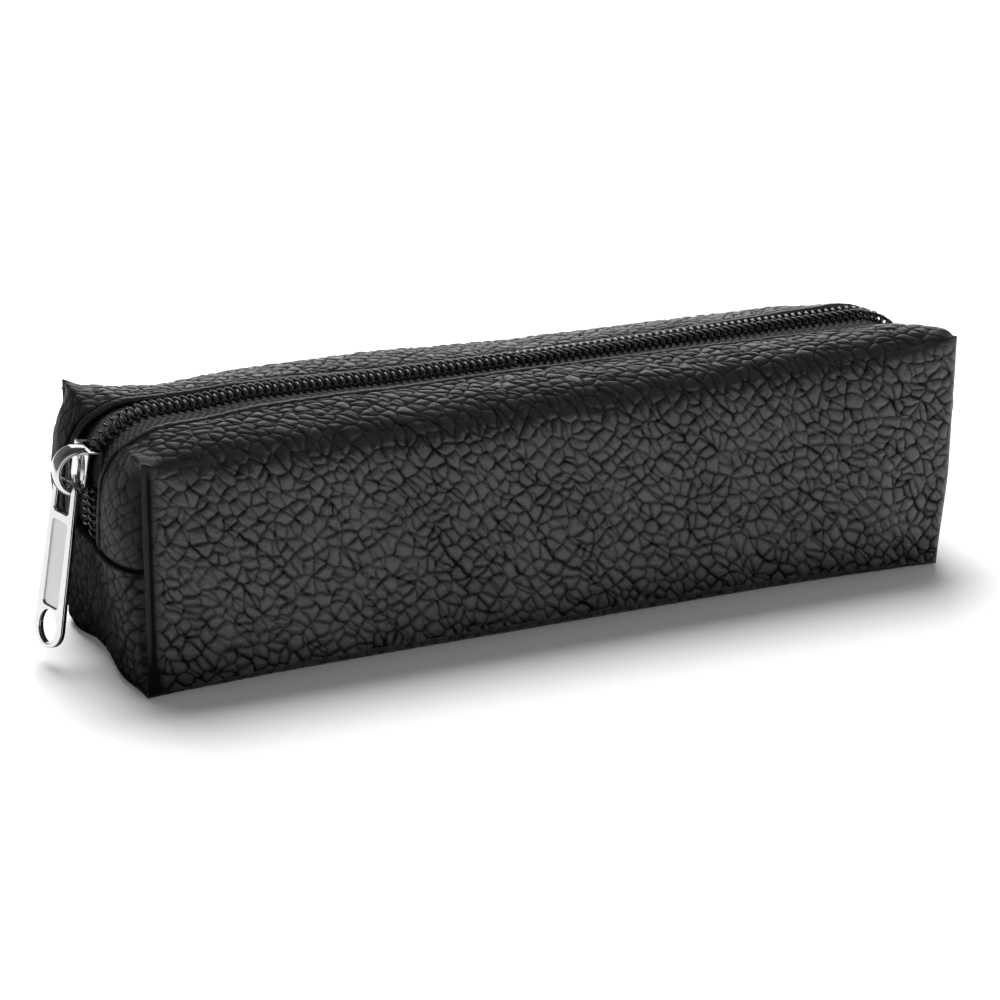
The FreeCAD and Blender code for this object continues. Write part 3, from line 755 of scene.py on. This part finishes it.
def turned_in_edge(position, face):
    """The wall's edge past its ridge, turned in under the strip."""
    size = sizes()
    half_width = size["case_width"] / 2
    inset = np.linspace(0, TURNED_IN[face], 8)[:, None]
    travel = zip_travel() - np.abs(position)
    ridge = ridge_height(position, face)
    fold = size["corner_z"] + fold_radius(travel, face) + zip_sag(position)
    slope = (fold - ridge) / (half_width - fold_distance(travel))
    z = ridge - 0.2 + slope * inset + ridge_roll(inset, position, face) - 1.1 * (1 - np.exp(-inset))
    return stacked(position, face * (half_width - inset), z)


def wrap_leather():
    """Front wall, bottom and back wall from one sheet."""
    size = sizes()
    half_length = size["case_length"] / 2
    half_width = size["case_width"] / 2
    columns = edged(half_length, 1.6, steps(196.8, 0.22))
    from_end = half_length - np.abs(columns)[None, :]
    near_end = ease(18.0, 0.0, from_end)
    end_pull = np.sign(columns)[None, :] * near_end
    angle = np.linspace(0, math.pi / 2, 11)[:, None]
    mesh = PieceMesh()
    edges = {}
    for _, face in FACES:
        points, crease_and_shade, radius, stand = wall_section(columns, face)
        mesh.add_grid(points, points, crease_and_shade)
        ledge = turned_in_edge(columns[np.abs(columns) < 86.0][::4][None, :], face)
        # Painted shade: the turned-in edge under the strip is painted dark
        mesh.add_grid(ledge, ledge, np.full(ledge.shape[:2], 0.75))
        height, grain_crease_shade = pebbled_grain(columns[None, :], -radius * angle)
        fade = ease(0, 1.6, from_end) * ease(0, 0.3, angle) * np.cos(angle)
        reach = radius + stand * np.cos(angle) ** 2 + height * fade
        y = half_width - radius + reach * np.cos(angle)
        z = radius * (1 - np.sin(angle)) + foot_arch(y) * near_end * np.sin(angle)
        x = leaned(columns[None, :], z) + end_pull * foot_swell(face * y)
        bend = stacked(x, face * y, z)
        # Painted shade: the bottom bend is painted darker where it turns under the case
        mesh.add_grid(bend, bend, np.clip(grain_crease_shade * fade + 0.4, 0, 1))
        edges[face] = bend[-1, :, 1]
    share = np.linspace(0, 1, steps(50.0, 1.1))[:, None]
    y = edges[FRONT] + (edges[BACK] - edges[FRONT]) * share
    height, grain_crease_shade = pebbled_grain(columns[None, :], y)
    fade = ease(0, 0.06, np.minimum(share, 1 - share)) * ease(0, 3, from_end)
    z = foot_arch(y) * near_end - np.minimum(height, 0) * fade
    x = leaned(columns[None, :], z) + end_pull * foot_swell(y)
    base = stacked(x, y, z)
    mesh.add_grid(base, base, grain_crease_shade * fade)
    return mesh.make("wrap_leather", [leather_finish()])


def lower_end_leather(name, side):
    """One end below its level seam: flat at the bottom and swelled at the seam."""
    size = sizes()
    half_width = size["case_width"] / 2
    y = edged(half_width, 1.8, steps(52.0, 0.45))[None, :]
    climb = np.linspace(0, 1, steps(30.0, 0.45))[:, None]
    climb = climb - 0.02 * np.sin(2 * math.pi * climb)
    z = foot_arch(y) + (size["seam_height"] - foot_arch(y)) * climb
    from_side = half_width - np.abs(y)
    from_seam = size["seam_height"] - z
    rising = ease(-0.15, 1.05, climb)
    swell = end_profile(y) * rising + foot_swell(y) * (1 - rising) / (1 - rising[0])
    foot = tucked(from_side) * ease(0.0, 3.0, z)
    seam = bell(from_seam, 0.0, 0.4)
    puff = 0.25 * bell(from_seam, 1.2, 1.0) * ease(0, 3, from_side)
    height, crease_and_shade = pebbled_grain(y + 300.0 * side, z, 0.8)
    fade = ease(0, 1.6, from_side) * ease(0, 1.2, from_seam) * ease(0, 1.2, z)
    stand = swell + foot - 0.9 * seam * ease(0, 3, from_side) + height * 0.6 * fade + puff
    fold = fold_distance(0.0)
    lean = corner_lean(z, side) * np.clip((np.abs(y) - fold) / (half_width - fold), 0.0, 1.0)
    points = stacked(side * (size["case_length"] / 2 + stand) + lean, y, z)
    mesh = PieceMesh()
    # Painted shade: the whole end is painted darker, and darker still along its level seam
    mesh.add_grid(points, points, np.clip(crease_and_shade * fade * 0.6 + 0.7 * seam + END_PAINTED_SHADE, 0, 1))
    return mesh.make(name, [leather_finish()])


def strip_leather(name, face, side):
    """Half of one leather strip beside the zip: up an end, round the corner and along the top."""
    roll = sizes()["leather"] / 2
    travel = np.linspace(0, zip_travel(), steps(zip_travel(), 0.25))[:, None]
    outer = corner_line(travel, face, side)
    inner = fold_point(travel, face, side)
    width = np.linalg.norm(inner - outer, axis=2)
    columns = steps(21.0, 0.25)
    share = np.linspace(0, 1, columns)[None, :]
    share = share - 0.06 * np.sin(2 * math.pi * share) / (2 * math.pi)
    across = share * (1 - roll / width)
    base = outer * (1 - across[..., None]) + inner * across[..., None]
    pillow = soft_line(travel, PILLOW_STOPS)
    if (face, side) == (FRONT, RIGHT):
        pillow = pillow + 2.0 * bell(travel, 28.0, 8.0)
    if (face, side) == (BACK, LEFT):
        pillow = pillow + 1.4 * ease(26.0, 14.0, travel)
    base = base + outward_normals(base) * (pillow * np.sin(math.pi * across))[..., None]
    normals = outward_normals(base)

    along = np.broadcast_to(travel, across.shape)
    from_seam = across * width
    from_edge = (1 - across) * width
    from_tip = np.hypot(travel - TIP_TRAVEL, from_seam)
    position = side * (zip_travel() - along)
    height, crease_and_shade = pebbled_grain(position, ridge_height(position, face) + from_seam)
    at_ridge = np.exp(-from_seam / RIDGE_REACH) * ease(36, 41, travel)
    fade = ease(0, 1.6, from_seam) * (1 - at_ridge) + ridge_fade(from_seam, position) * at_ridge
    fade = fade * (0.3 + 0.7 * ease(1.4, 3.4, from_edge)) * ease(0, 1.2, travel)
    fade = fade * (1.0 - 0.65 * ease(36, 16, travel)) * ease(0, 9, from_tip)

    on_top = ease(0.4, 0.62, zip_turn(travel))
    swell = ridge_roll(from_seam, outer[..., 0], face) * (1 - across ** 2)
    edge_stand = (swell * on_top + tucked(from_seam) * (1 - on_top)) * ease(0, 5, from_tip)
    groove = bell(from_edge, STITCH_INSET, 0.45)
    puff = bell(from_edge, 1.1, 0.7)
    shirr = soft_noise(along / 2.4, from_edge / 6.0, 61 + face + 3 * side) * bell(from_edge, 2.6, 1.6)
    dip = bell(travel, 0.0, 0.9) * ease(0, 3, from_seam)
    waves = soft_noise(along / 15.0, from_seam / 9.0, 71 + face)
    waves = waves * ease(0, 5, from_seam) * ease(2, 6, from_edge)
    stand = edge_stand - 0.35 * groove + 0.28 * puff + 0.10 * shirr - 0.7 * dip + 0.3 * waves

    over_ridge = np.array((0.0, face * math.sqrt(0.5), math.sqrt(0.5)))
    raised = unit(normals * (1 - at_ridge[..., None]) + over_ridge * at_ridge[..., None])
    top = base + normals * stand[..., None] + raised * (height * fade)[..., None]
    toward = unit(inner - outer)
    turn = np.linspace(0, math.pi, 9)[None, 1:, None]
    hem = top[:, -1:] + toward * roll * np.sin(turn) - normals[:, -1:] * roll * (1 - np.cos(turn))
    under = hem[:, -1:] - toward * 3.0
    grid = np.concatenate([top, hem, under], axis=1)
    margin = ((0, 0), (0, grid.shape[1] - columns))
    place = stacked(along, from_seam, 0.0)
    # Painted shade: darker near the end seam and round the corner's tip; the stitch groove and the seam are
    # painted darker too
    painted_shade = END_PAINTED_SHADE * ease(32, 14, travel) + 0.4 * bell(from_tip, 0.0, 5.0)
    seam = bell(travel, 0.0, 0.4)
    marks = np.clip(crease_and_shade * fade * 0.9 + 0.6 * groove + 0.6 * seam + painted_shade, 0, 1)
    mesh = PieceMesh()
    mesh.add_grid(grid, np.pad(place, (*margin, (0, 0)), mode="edge"), np.pad(marks, margin))

    lining = base - normals * (1.6 + 0.8 * np.exp(-from_seam / 3.0))[..., None]
    sparse = np.ix_(*(np.append(np.arange(0, count - 1, skip), count - 1)
                      for count, skip in ((len(travel), 4), (columns, 5))))
    mesh.add_grid(lining[sparse], place[sparse], None, 1, centre=(0.0, 0.0, 200.0))
    return mesh.make(name, [leather_finish(), lining_finish()])


# Zip pieces

def tape_radius(travel, lateral, face):
    """Height of the tape's upper face over the axis of the zip's corner."""
    size = sizes()
    sewn = fold_radius(travel, face) - size["leather"] - 0.1
    return size["corner_radius"] + (sewn - size["corner_radius"]) * ease(3.2, 8.0, np.abs(lateral))


def tape_weave(name, face, side):
    """Half of one zip tape."""
    travel = np.linspace(0, zip_travel(), steps(zip_travel(), 0.8))[:, None]
    share = np.linspace(0, 1, steps(11.0, 0.6))[None, :]
    inner, thickness, hidden = 0.5, 0.55, 3.0
    lateral = inner + (fold_distance(travel) + hidden - inner) * share
    radius = tape_radius(travel, lateral, face)
    upper = zip_point(travel, radius, face * lateral, side)
    lower = zip_point(travel, radius - thickness, face * lateral, side)
    place = stacked(travel, lateral, 0.0)
    mesh = PieceMesh()
    mesh.add_grid(np.concatenate([upper, lower[:, ::-1]], axis=1),
                  np.concatenate([place, place[:, ::-1]], axis=1), wrap=True)
    return mesh.make(name, [woven_finish("zip_tape_weave", "tape", 0.95, 0.72, 2.4)])


def coil_row(name, face, side):
    """Half of one row of coil: a flattened spring whose loops reach between the other row's."""
    size = sizes()
    pitch = size["tooth_pitch"]
    turns = int(zip_travel() / pitch)
    start = zip_travel() - turns * pitch
    phase = 0.0 if face == FRONT else 0.5
    travel = (start + (np.arange(turns)[:, None] + phase + COIL_LOOP[None, :, 0]) * pitch).ravel()
    keep = travel < zip_travel()
    travel = travel[keep]
    lateral, lift = np.tile(COIL_LOOP[:, 1:].T, turns)[:, keep]
    if side == LEFT:
        lateral = lateral + 0.9 * ease(11, 6, travel)
    path = zip_point(travel, size["corner_radius"] + lift, face * lateral, side)
    mesh = PieceMesh()
    mesh.add_tube(path, size["filament"] / 2, 8)
    return mesh.make(name, [coil_finish()])


def stitch_row(name, face, side):
    """The stitches along half of one strip's folded edge."""
    size = sizes()
    mesh = PieceMesh()
    share = np.linspace(0, 1, 9)
    taper = np.sqrt(np.clip(np.sin(math.pi * (0.08 + 0.84 * share)), 0.05, 1))
    bow = 0.3 * np.sin(math.pi * share) ** 0.5 - 0.3
    for number in range(int((zip_travel() - 4.0) / size["stitch_pitch"])):
        travel = 3.0 + number * size["stitch_pitch"] + size["stitch_length"] * share
        turn = zip_turn(travel)
        fold = fold_point(travel, face, side)
        above = fold_point(travel, face, side, 1.0) - fold
        toward = unit(corner_line(travel, face, side) - fold)
        lift = 1.0 * (1 - turn) + (0.4 if face == FRONT else 0.1) * turn + bow
        path = fold + toward * STITCH_INSET + above * lift[:, None]
        mesh.add_tube(path, size["thread"] / 2 * taper, 6)
    return mesh.make(name, [thread_finish()])


# Pieces inside the case

def node_box(node):
    """The two corners of a solid's box in millimetres."""
    return [np.array(corner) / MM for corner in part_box(node)]


def lining_trough():
    """The lining of the front, bottom and back."""
    low, high = node_box("lining_wrap")
    bend = 2.0
    x = np.linspace(low[0], high[0], steps(197.0, 2.0))[None, :]
    height = np.linspace(high[2], low[2] + bend, steps(50.0, 1.6))
    floor = np.linspace(low[1] + bend, high[1] - bend, steps(50.0, 1.6))
    profile = [(low[1], z) for z in height]
    profile += arc_points((low[1] + bend, low[2] + bend), bend, 180, 270, 6)[1:-1]
    profile += [(y, low[2]) for y in floor]
    profile += arc_points((high[1] - bend, low[2] + bend), bend, 270, 360, 6)[1:-1]
    profile += [(high[1], z) for z in height[::-1]]
    profile = np.array(profile)
    travel = path_lengths(profile)[:, None]
    y = profile[:, :1]
    ridge = np.where(y < 0, ridge_height(x, FRONT), ridge_height(x, BACK))
    z = profile[:, 1:] * np.minimum((ridge - LINING_DROP) / high[2], 1.0)
    ripple = 0.35 + 0.35 * soft_noise(x / 21.0, travel / 16.0, 81)
    points = stacked(x, y, z)
    sheet = points - outward_normals(points, (0, 0, 30)) * ripple[..., None]
    mesh = PieceMesh()
    mesh.add_grid(sheet, stacked(x, travel, 0.0))
    return mesh.make("lining_trough", [lining_finish()])


def lining_end(name, side):
    """The lining of one end."""
    low, high = node_box(f"{name}_lining")
    inner = low[0] if side > 0 else high[0]
    y = np.linspace(low[1], high[1], steps(53.0, 1.5))[None, :]
    z = np.linspace(low[2], high[2], steps(28.0, 1.5))[:, None]
    ripple = 0.25 + 0.25 * soft_noise(y / 14.0, z / 11.0, 83 + side)
    mesh = PieceMesh()
    mesh.add_grid(stacked(inner + side * ripple, y, z), stacked(y, z, 0.0))
    return mesh.make(f"{name}_end_lining", [lining_finish()])


def binding_strip(node):
    """Ribbed tape over a seam inside the case, with its edges turned under."""
    low, high = node_box(node)
    ridge = ridge_height(np.array(high[0]), BACK if high[1] > 0 else FRONT)
    high[2] = min(high[2], float(ridge) - LINING_DROP)
    span = high - low
    middle = (low + high) / 2
    long_way = int(np.argmax(span))
    thin_way = int(np.argmin(span))
    wide_way = 3 - long_way - thin_way
    travel = np.linspace(0, span[long_way], steps(span[long_way], 1.2))[:, None]
    angle = np.linspace(0, 2 * math.pi, 28, endpoint=False)[None, :]
    across = squared_off(np.cos(angle), 0.25) * span[wide_way] / 2
    thick = squared_off(np.sin(angle), 0.8) * span[thin_way] / 2
    swell = 1 + 0.06 * soft_noise(travel / 5.0, angle, 91)
    points = np.zeros((travel.shape[0], angle.shape[1], 3))
    points[..., long_way] = low[long_way] + travel
    points[..., wide_way] = middle[wide_way] + across
    points[..., thin_way] = middle[thin_way] + thick * swell
    mesh = PieceMesh()
    mesh.add_grid(points, stacked(travel, across, 0.0), centre=middle, wrap=True)
    return mesh.make(f"{node}_tape", [woven_finish("binding_weave", "lining", 0.7, 0.8, 50.0)])


# Slider and pull

SLIDER_TILT = math.radians(9.0)
SLIDER_OUT = np.array((-math.cos(SLIDER_TILT), 0.0, math.sin(SLIDER_TILT)))
SLIDER_TAIL = np.array((math.sin(SLIDER_TILT), 0.0, math.cos(SLIDER_TILT)))
ACROSS = np.array((0.0, 1.0, 0.0))

PULL_PIVOT = np.array((-108.2906, 0.0, 43.1788))
PULL_LEAN, PULL_YAW = math.radians(9.0), math.radians(19.0)


def polished_node(node, finish, width):
    """Ease the edges of a rigid solid of the frame and give it a finish."""
    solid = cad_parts[node]
    solid.data.materials.clear()
    solid.data.materials.append(finish)
    weld = solid.modifiers.new("Weld", "WELD")
    weld.merge_threshold = 0.000005
    bevel = solid.modifiers.new("Eased edges", "BEVEL")
    bevel.width = width * MM
    bevel.segments = 3
    bevel.limit_method = "ANGLE"
    bevel.angle_limit = math.radians(35)
    bevel.harden_normals = True


def on_slider(tail, across, out):
    """A place on the slider: towards its tail, across it and out from the axis that it turns about."""
    size = sizes()
    axis = np.array((-size["corner_x"], 0.0, size["corner_z"]))
    tail, across, out = np.broadcast_arrays(tail, across, out)
    return axis + tail[..., None] * SLIDER_TAIL + across[..., None] * ACROSS + out[..., None] * SLIDER_OUT


def bridge_arch():
    """The slider's arch: a full rounded band that springs from both ends of the plate."""
    swing = np.linspace(0, math.pi, 61)[:, None]
    tail = 4.95 * np.cos(swing)
    out = SLIDER_PLATE + 5.75 * np.abs(np.sin(swing)) ** 0.75
    run = unit(np.gradient(np.concatenate([tail, out], axis=1), axis=0))
    angle = np.linspace(0, 2 * math.pi, 32, endpoint=False)[None, :]
    wide = squared_off(np.cos(angle), 0.7) * (2.35 + 0.3 * np.abs(np.cos(swing)) ** 4)
    thick = squared_off(np.sin(angle), 0.9) * 0.95
    points = on_slider(tail + run[:, 1:] * thick, wide, out - run[:, :1] * thick)
    mesh = PieceMesh()
    mesh.add_grid(points, points, centre=on_slider(0.0, 0.0, 20.0), wrap=True)
    return mesh.make("slider_arch", [bright_metal()])


def slider_crown():
    """The egg-shaped swelling on the slider's plate, under the arch."""
    turn = np.linspace(0, 2 * math.pi, 40, endpoint=False)[None, :]
    climb = np.linspace(0, math.pi / 2, 13)[:, None]
    tail = 0.2 + 5.4 * np.cos(climb) * np.cos(turn)
    across = 3.5 * np.cos(climb) * np.sin(turn)
    points = on_slider(tail, across, SLIDER_PLATE + 1.5 * np.sin(climb))
    mesh = PieceMesh()
    mesh.add_grid(points, points, centre=on_slider(0.9, 0.0, 16.0), wrap=True)
    return mesh.make("slider_crown", [bright_metal()])


def rounded_slot(half_width, low, high, corner):
    """The outline of an upright slot with rounded corners."""
    outline = []
    for side, rim, start in ((1, high, 0), (-1, high, 90), (-1, low, 180), (1, low, 270)):
        centre = (side * (half_width - corner), rim - corner if rim == high else rim + corner)
        outline += arc_points(centre, corner, start, start + 90, 6)
    return outline


def stamped_plate(outlines, low, high, ease_width, finish_index):
    """A plate with holes and eased edges between two heights: points and faces, and the faces' finishes."""
    curve = bpy.data.curves.new("stamping", "CURVE")
    curve.dimensions = "2D"
    curve.fill_mode = "BOTH"
    curve.extrude = (high - low) / 2 - ease_width
    curve.bevel_depth = ease_width
    curve.bevel_resolution = 3
    curve.offset = -ease_width
    for outline in outlines:
        spline = curve.splines.new("POLY")
        spline.points.add(len(outline) - 1)
        for point, (x, y) in zip(spline.points, outline):
            point.co = (x, y, 0.0, 1.0)
        spline.use_cyclic_u = True
    blank = bpy.data.objects.new("stamping", curve)
    mesh = bpy.data.meshes.new_from_object(blank)
    points = np.array([tuple(vertex.co) for vertex in mesh.vertices])
    points[:, 2] += (high + low) / 2
    faces = [tuple(face.vertices) for face in mesh.polygons]
    level = [abs(face.normal.z) > 0.99 and face.center.z > 0 for face in mesh.polygons]
    bpy.data.objects.remove(blank)
    bpy.data.curves.remove(curve)
    bpy.data.meshes.remove(mesh)
    return points, faces, [finish_index if flat else 0 for flat in level]


def pull_plate():
    """The long pull: a bright frame round a dull sunk panel, with a window and a ring hole."""
    end_y, end_radius, ring = -34.5, 4.9, 3.55
    outer = arc_points((-2.5, -0.9), 1.5, 180, 90, 7) + arc_points((2.5, -0.9), 1.5, 90, 0, 7)
    outer += arc_points((0.0, end_y), end_radius, 0, -180, 33)
    window = rounded_slot(2.7, -7.2, -0.6, 0.8)
    hole = [(0.92 * x, end_y + 1.12 * (y - end_y)) for x, y in arc_points((0.0, end_y), ring, 0, 352.5, 48)]
    panel = rounded_slot(2.75, -29.6, -9.2, 0.9)
    back, back_faces, back_finish = stamped_plate([outer, window, hole], -0.72, 0.36, 0.22, 1)
    front, front_faces, front_finish = stamped_plate([outer, window, hole, panel], 0.2, 0.75, 0.2, 0)
    points = np.concatenate([back, front])
    faces = back_faces + [tuple(index + len(back) for index in face) for face in front_faces]
    down = np.array((-math.sin(PULL_LEAN), 0.0, -math.cos(PULL_LEAN)))
    facing = np.array((-math.cos(PULL_LEAN), 0.0, math.sin(PULL_LEAN)))
    outward = facing * math.cos(PULL_YAW) - ACROSS * math.sin(PULL_YAW)
    sideways = ACROSS * math.cos(PULL_YAW) + facing * math.sin(PULL_YAW)
    placed = PULL_PIVOT + points[:, :1] * sideways - points[:, 1:2] * down + points[:, 2:3] * outward
    mesh = bpy.data.meshes.new("pull_plate")
    mesh.from_pydata([tuple(point) for point in placed * MM], [], faces)
    mesh.materials.append(bright_metal())
    mesh.materials.append(metal_finish("dull_metal", 0.30, 0.42))
    mesh.polygons.foreach_set("material_index", np.array(back_finish + front_finish, dtype=np.int32))
    mesh.update()
    mesh.shade_smooth()
    mesh.set_sharp_from_angle(angle=math.radians(40))
    return add_piece("pull_plate", mesh)


# Stage

CAMERA_TARGET = Vector((-0.0029, 0.0, 0.0224))
CAMERA_TURN, CAMERA_TILT, CAMERA_DISTANCE = math.radians(23.4), math.radians(21.47), 0.940
LAMP_TARGET = Vector((0.0, 0.0, 0.03))
LAMPS = (
    ("overhead", (0.05, 0.42, 0.95), 0.7, 19.0),
    ("rear_panel", (0.55, 1.3, 0.45), 0.9, 4.0),
    ("front_fill", (0.75, -1.1, 0.5), 0.6, 2.0),
)
FLOOR_REACH, FLOOR_HEIGHT = 4.0, -0.0003
CARD_OUTLINE = ((-0.112, -0.012), (-0.135, 0.06), (-0.160, 0.14), (-0.101, 0.11), (-0.101, -0.028))


def set_camera(scene):
    """A long lens at the case's front left."""
    ahead = Vector((math.sin(CAMERA_TURN) * math.cos(CAMERA_TILT),
                    math.cos(CAMERA_TURN) * math.cos(CAMERA_TILT), -math.sin(CAMERA_TILT)))
    lens = bpy.data.cameras.new("camera")
    lens.sensor_width = 36.0
    lens.lens = 144.0
    lens.clip_start = 0.01
    camera = bpy.data.objects.new("camera", lens)
    scene.collection.objects.link(camera)
    camera.location = CAMERA_TARGET - ahead * CAMERA_DISTANCE
    camera.rotation_mode = "QUATERNION"
    camera.rotation_quaternion = ahead.to_track_quat("-Z", "Y")
    scene.camera = camera


def flat_sheet(scene, name, outline, height, finish, inputs):
    """A flat sheet of the stage with a plain finish."""
    mesh = bpy.data.meshes.new(name)
    mesh.from_pydata([(x, y, height) for x, y in outline], [], [tuple(range(len(outline)))])
    material, _, shader = new_finish(finish)
    for key, value in inputs.items():
        shader.inputs[key].default_value = value
    mesh.materials.append(material)
    sheet = bpy.data.objects.new(name, mesh)
    scene.collection.objects.link(sheet)
    return sheet


def set_room(scene):
    """A soft room that is lighter round the sides than overhead."""
    world = bpy.data.worlds.new("soft_room")
    world.use_nodes = True
    tree = world.node_tree
    ray = add_node(tree, "ShaderNodeTexCoord", {}, {}).outputs["Generated"]
    glow = spread(tree, parts_of(tree, ray)["Z"], 0.0, 0.8, 0.0, 1.0)
    shade = blend_colours(tree, glow, (0.24, 0.24, 0.25, 1.0), (0.06, 0.06, 0.06, 1.0))
    background = tree.nodes["Background"]
    tree.links.new(shade, background.inputs["Color"])
    background.inputs["Strength"].default_value = 1.0
    scene.world = world


def set_lamps(scene):
    """Soft lamps; the overhead one leaves no highlight on the case."""
    for name, place, extent, power in LAMPS:
        lamp = bpy.data.lights.new(name, "AREA")
        lamp.size = extent
        lamp.energy = power
        light = bpy.data.objects.new(name, lamp)
        light.location = place
        light.rotation_mode = "QUATERNION"
        light.rotation_quaternion = (LAMP_TARGET - Vector(place)).to_track_quat("-Z", "Y")
        light.visible_glossy = name != "overhead"
        scene.collection.objects.link(light)


# Operators

class PENCASE_OT_stage(Operator):
    """Make the camera, the pale floor and the soft lights"""

    bl_idname = "pen_case.stage"
    bl_label = "Camera, floor and lights"

    def execute(self, context):
        scene = context.scene
        set_camera(scene)
        corners = [(FLOOR_REACH * x, FLOOR_REACH * y) for x, y in ((-1, -1), (1, -1), (1, 1), (-1, 1))]
        floor = flat_sheet(scene, "floor", corners, FLOOR_HEIGHT, "pale_floor", {
            "Base Color": (0.92, 0.92, 0.92, 1.0), "Roughness": 0.9,
            "Emission Color": (1.0, 1.0, 1.0, 1.0), "Emission Strength": 0.08})
        card = flat_sheet(scene, "dark_card", CARD_OUTLINE, 0.0, "matt_black", {
            "Base Color": (0.01, 0.01, 0.01, 1.0), "Specular IOR Level": 0.0})
        card.visible_camera = False
        card.visible_diffuse = False
        card.visible_shadow = False
        set_room(scene)
        set_lamps(scene)
        scene.view_settings.view_transform = "Standard"
        return {"FINISHED"}


class PENCASE_OT_wrap(Operator):
    """Make the sheet of leather that is the front, the bottom and the back"""

    bl_idname = "pen_case.wrap"
    bl_label = "Leather wrap"

    def execute(self, context):
        piece = wrap_leather()
        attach(piece, "case")
        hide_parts("leather_wrap")
        return {"FINISHED"}


class PENCASE_OT_lower_ends(Operator):
    """Make the two end panels below the level seams"""

    bl_idname = "pen_case.lower_ends"
    bl_label = "Lower ends"

    def execute(self, context):
        for name, side in ENDS:
            piece = lower_end_leather(f"{name}_lower_leather", side)
            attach(piece, "case")
            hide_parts(f"{name}_end_lower")
        return {"FINISHED"}


def follow_lip(piece):
    """Bake the piece's place into its mesh."""
    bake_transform(piece)


def make_halves(build, label, nodes):
    """Make the four halves of a strip that runs beside the zip."""
    for end_name, side in ENDS:
        for face_name, face in FACES:
            piece = build(f"{face_name}_{end_name}_{label}", face, side)
            follow_lip(piece)
            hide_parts(*(node.format(end=end_name, face=face_name) for node in nodes))


class PENCASE_OT_strips(Operator):
    """Make the leather strips beside the zip, with their rolled and sewn edges"""

    bl_idname = "pen_case.strips"
    bl_label = "Leather strips"

    def execute(self, context):
        make_halves(strip_leather, "strip", ("{face}_lip", "{end}_flap_{face}"))
        return {"FINISHED"}


class PENCASE_OT_tapes(Operator):
    """Make the woven zip tapes"""

    bl_idname = "pen_case.tapes"
    bl_label = "Zip tapes"

    def execute(self, context):
        make_halves(tape_weave, "weave", ("{face}_tape", "{end}_tape_{face}"))
        return {"FINISHED"}


class PENCASE_OT_coils(Operator):
    """Make the two rows of coil"""

    bl_idname = "pen_case.coils"
    bl_label = "Zip coils"

    def execute(self, context):
        make_halves(coil_row, "spring", ("{face}_coil", "{end}_coil_{face}"))
        return {"FINISHED"}


class PENCASE_OT_stitches(Operator):
    """Make the stitches beside the zip"""

    bl_idname = "pen_case.stitches"
    bl_label = "Stitches"

    def execute(self, context):
        make_halves(stitch_row, "thread", ("{face}_stitches",))
        return {"FINISHED"}


class PENCASE_OT_lining(Operator):
    """Make the lining"""

    bl_idname = "pen_case.lining"
    bl_label = "Lining"

    def execute(self, context):
        trough = lining_trough()
        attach(trough, "case")
        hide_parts("lining_wrap")
        for name, side in ENDS:
            piece = lining_end(name, side)
            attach(piece, "case")
            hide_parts(f"{name}_lining")
        return {"FINISHED"}


class PENCASE_OT_bindings(Operator):
    """Make the tapes that bind the seams inside"""

    bl_idname = "pen_case.bindings"
    bl_label = "Seam bindings"

    def execute(self, context):
        for name, _ in ENDS:
            for kind in ("seam_binding", "corner_binding_front", "corner_binding_back"):
                piece = binding_strip(f"{name}_{kind}")
                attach(piece, "case")
                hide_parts(f"{name}_{kind}")
        return {"FINISHED"}


class PENCASE_OT_slider(Operator):
    """Finish the slider, its bridge and its pull in plated metal"""

    bl_idname = "pen_case.slider"
    bl_label = "Slider and pull"

    def execute(self, context):
        polished_node("slider_body", bright_metal(), 0.3)
        arch = bridge_arch()
        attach(arch, "slider")
        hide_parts("slider_bridge")
        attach(slider_crown(), "slider")
        pull = pull_plate()
        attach(pull, "pull")
        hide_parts("pull_tab")
        return {"FINISHED"}


OPERATORS = (PENCASE_OT_stage, PENCASE_OT_wrap, PENCASE_OT_lower_ends, PENCASE_OT_strips, PENCASE_OT_tapes,
             PENCASE_OT_coils, PENCASE_OT_stitches, PENCASE_OT_lining, PENCASE_OT_bindings, PENCASE_OT_slider)


class PENCASE_PT_panel(Panel):
    """Sizes, colours and pieces of the pen case"""

    bl_idname = "PENCASE_PT_panel"
    bl_label = "Pen case"
    bl_space_type = "VIEW_3D"
    bl_region_type = "UI"
    bl_category = "Pen case"

    def draw(self, context):
        for group in (context.scene.pen_case_sizes, context.scene.pen_case_colours):
            column = self.layout.column(align=True)
            for key in group.__annotations__:
                column.prop(group, key)
        column = self.layout.column(align=True)
        for operator in OPERATORS:
            column.operator(operator.bl_idname)


CLASSES = (PenCaseSizes, PenCaseColours, *OPERATORS, PENCASE_PT_panel)


def register():
    for item in CLASSES:
        bpy.utils.register_class(item)
    bpy.types.Scene.pen_case_sizes = PointerProperty(type=PenCaseSizes)
    bpy.types.Scene.pen_case_colours = PointerProperty(type=PenCaseColours)


def unregister():
    del bpy.types.Scene.pen_case_colours
    del bpy.types.Scene.pen_case_sizes
    for item in reversed(CLASSES):
        bpy.utils.unregister_class(item)


def main():
    register()
    for operator in OPERATORS:
        group, name = operator.bl_idname.split(".")
        getattr(getattr(bpy.ops, group), name)()
    bpy.context.view_layer.update()


if __name__ == "__main__":
    main()
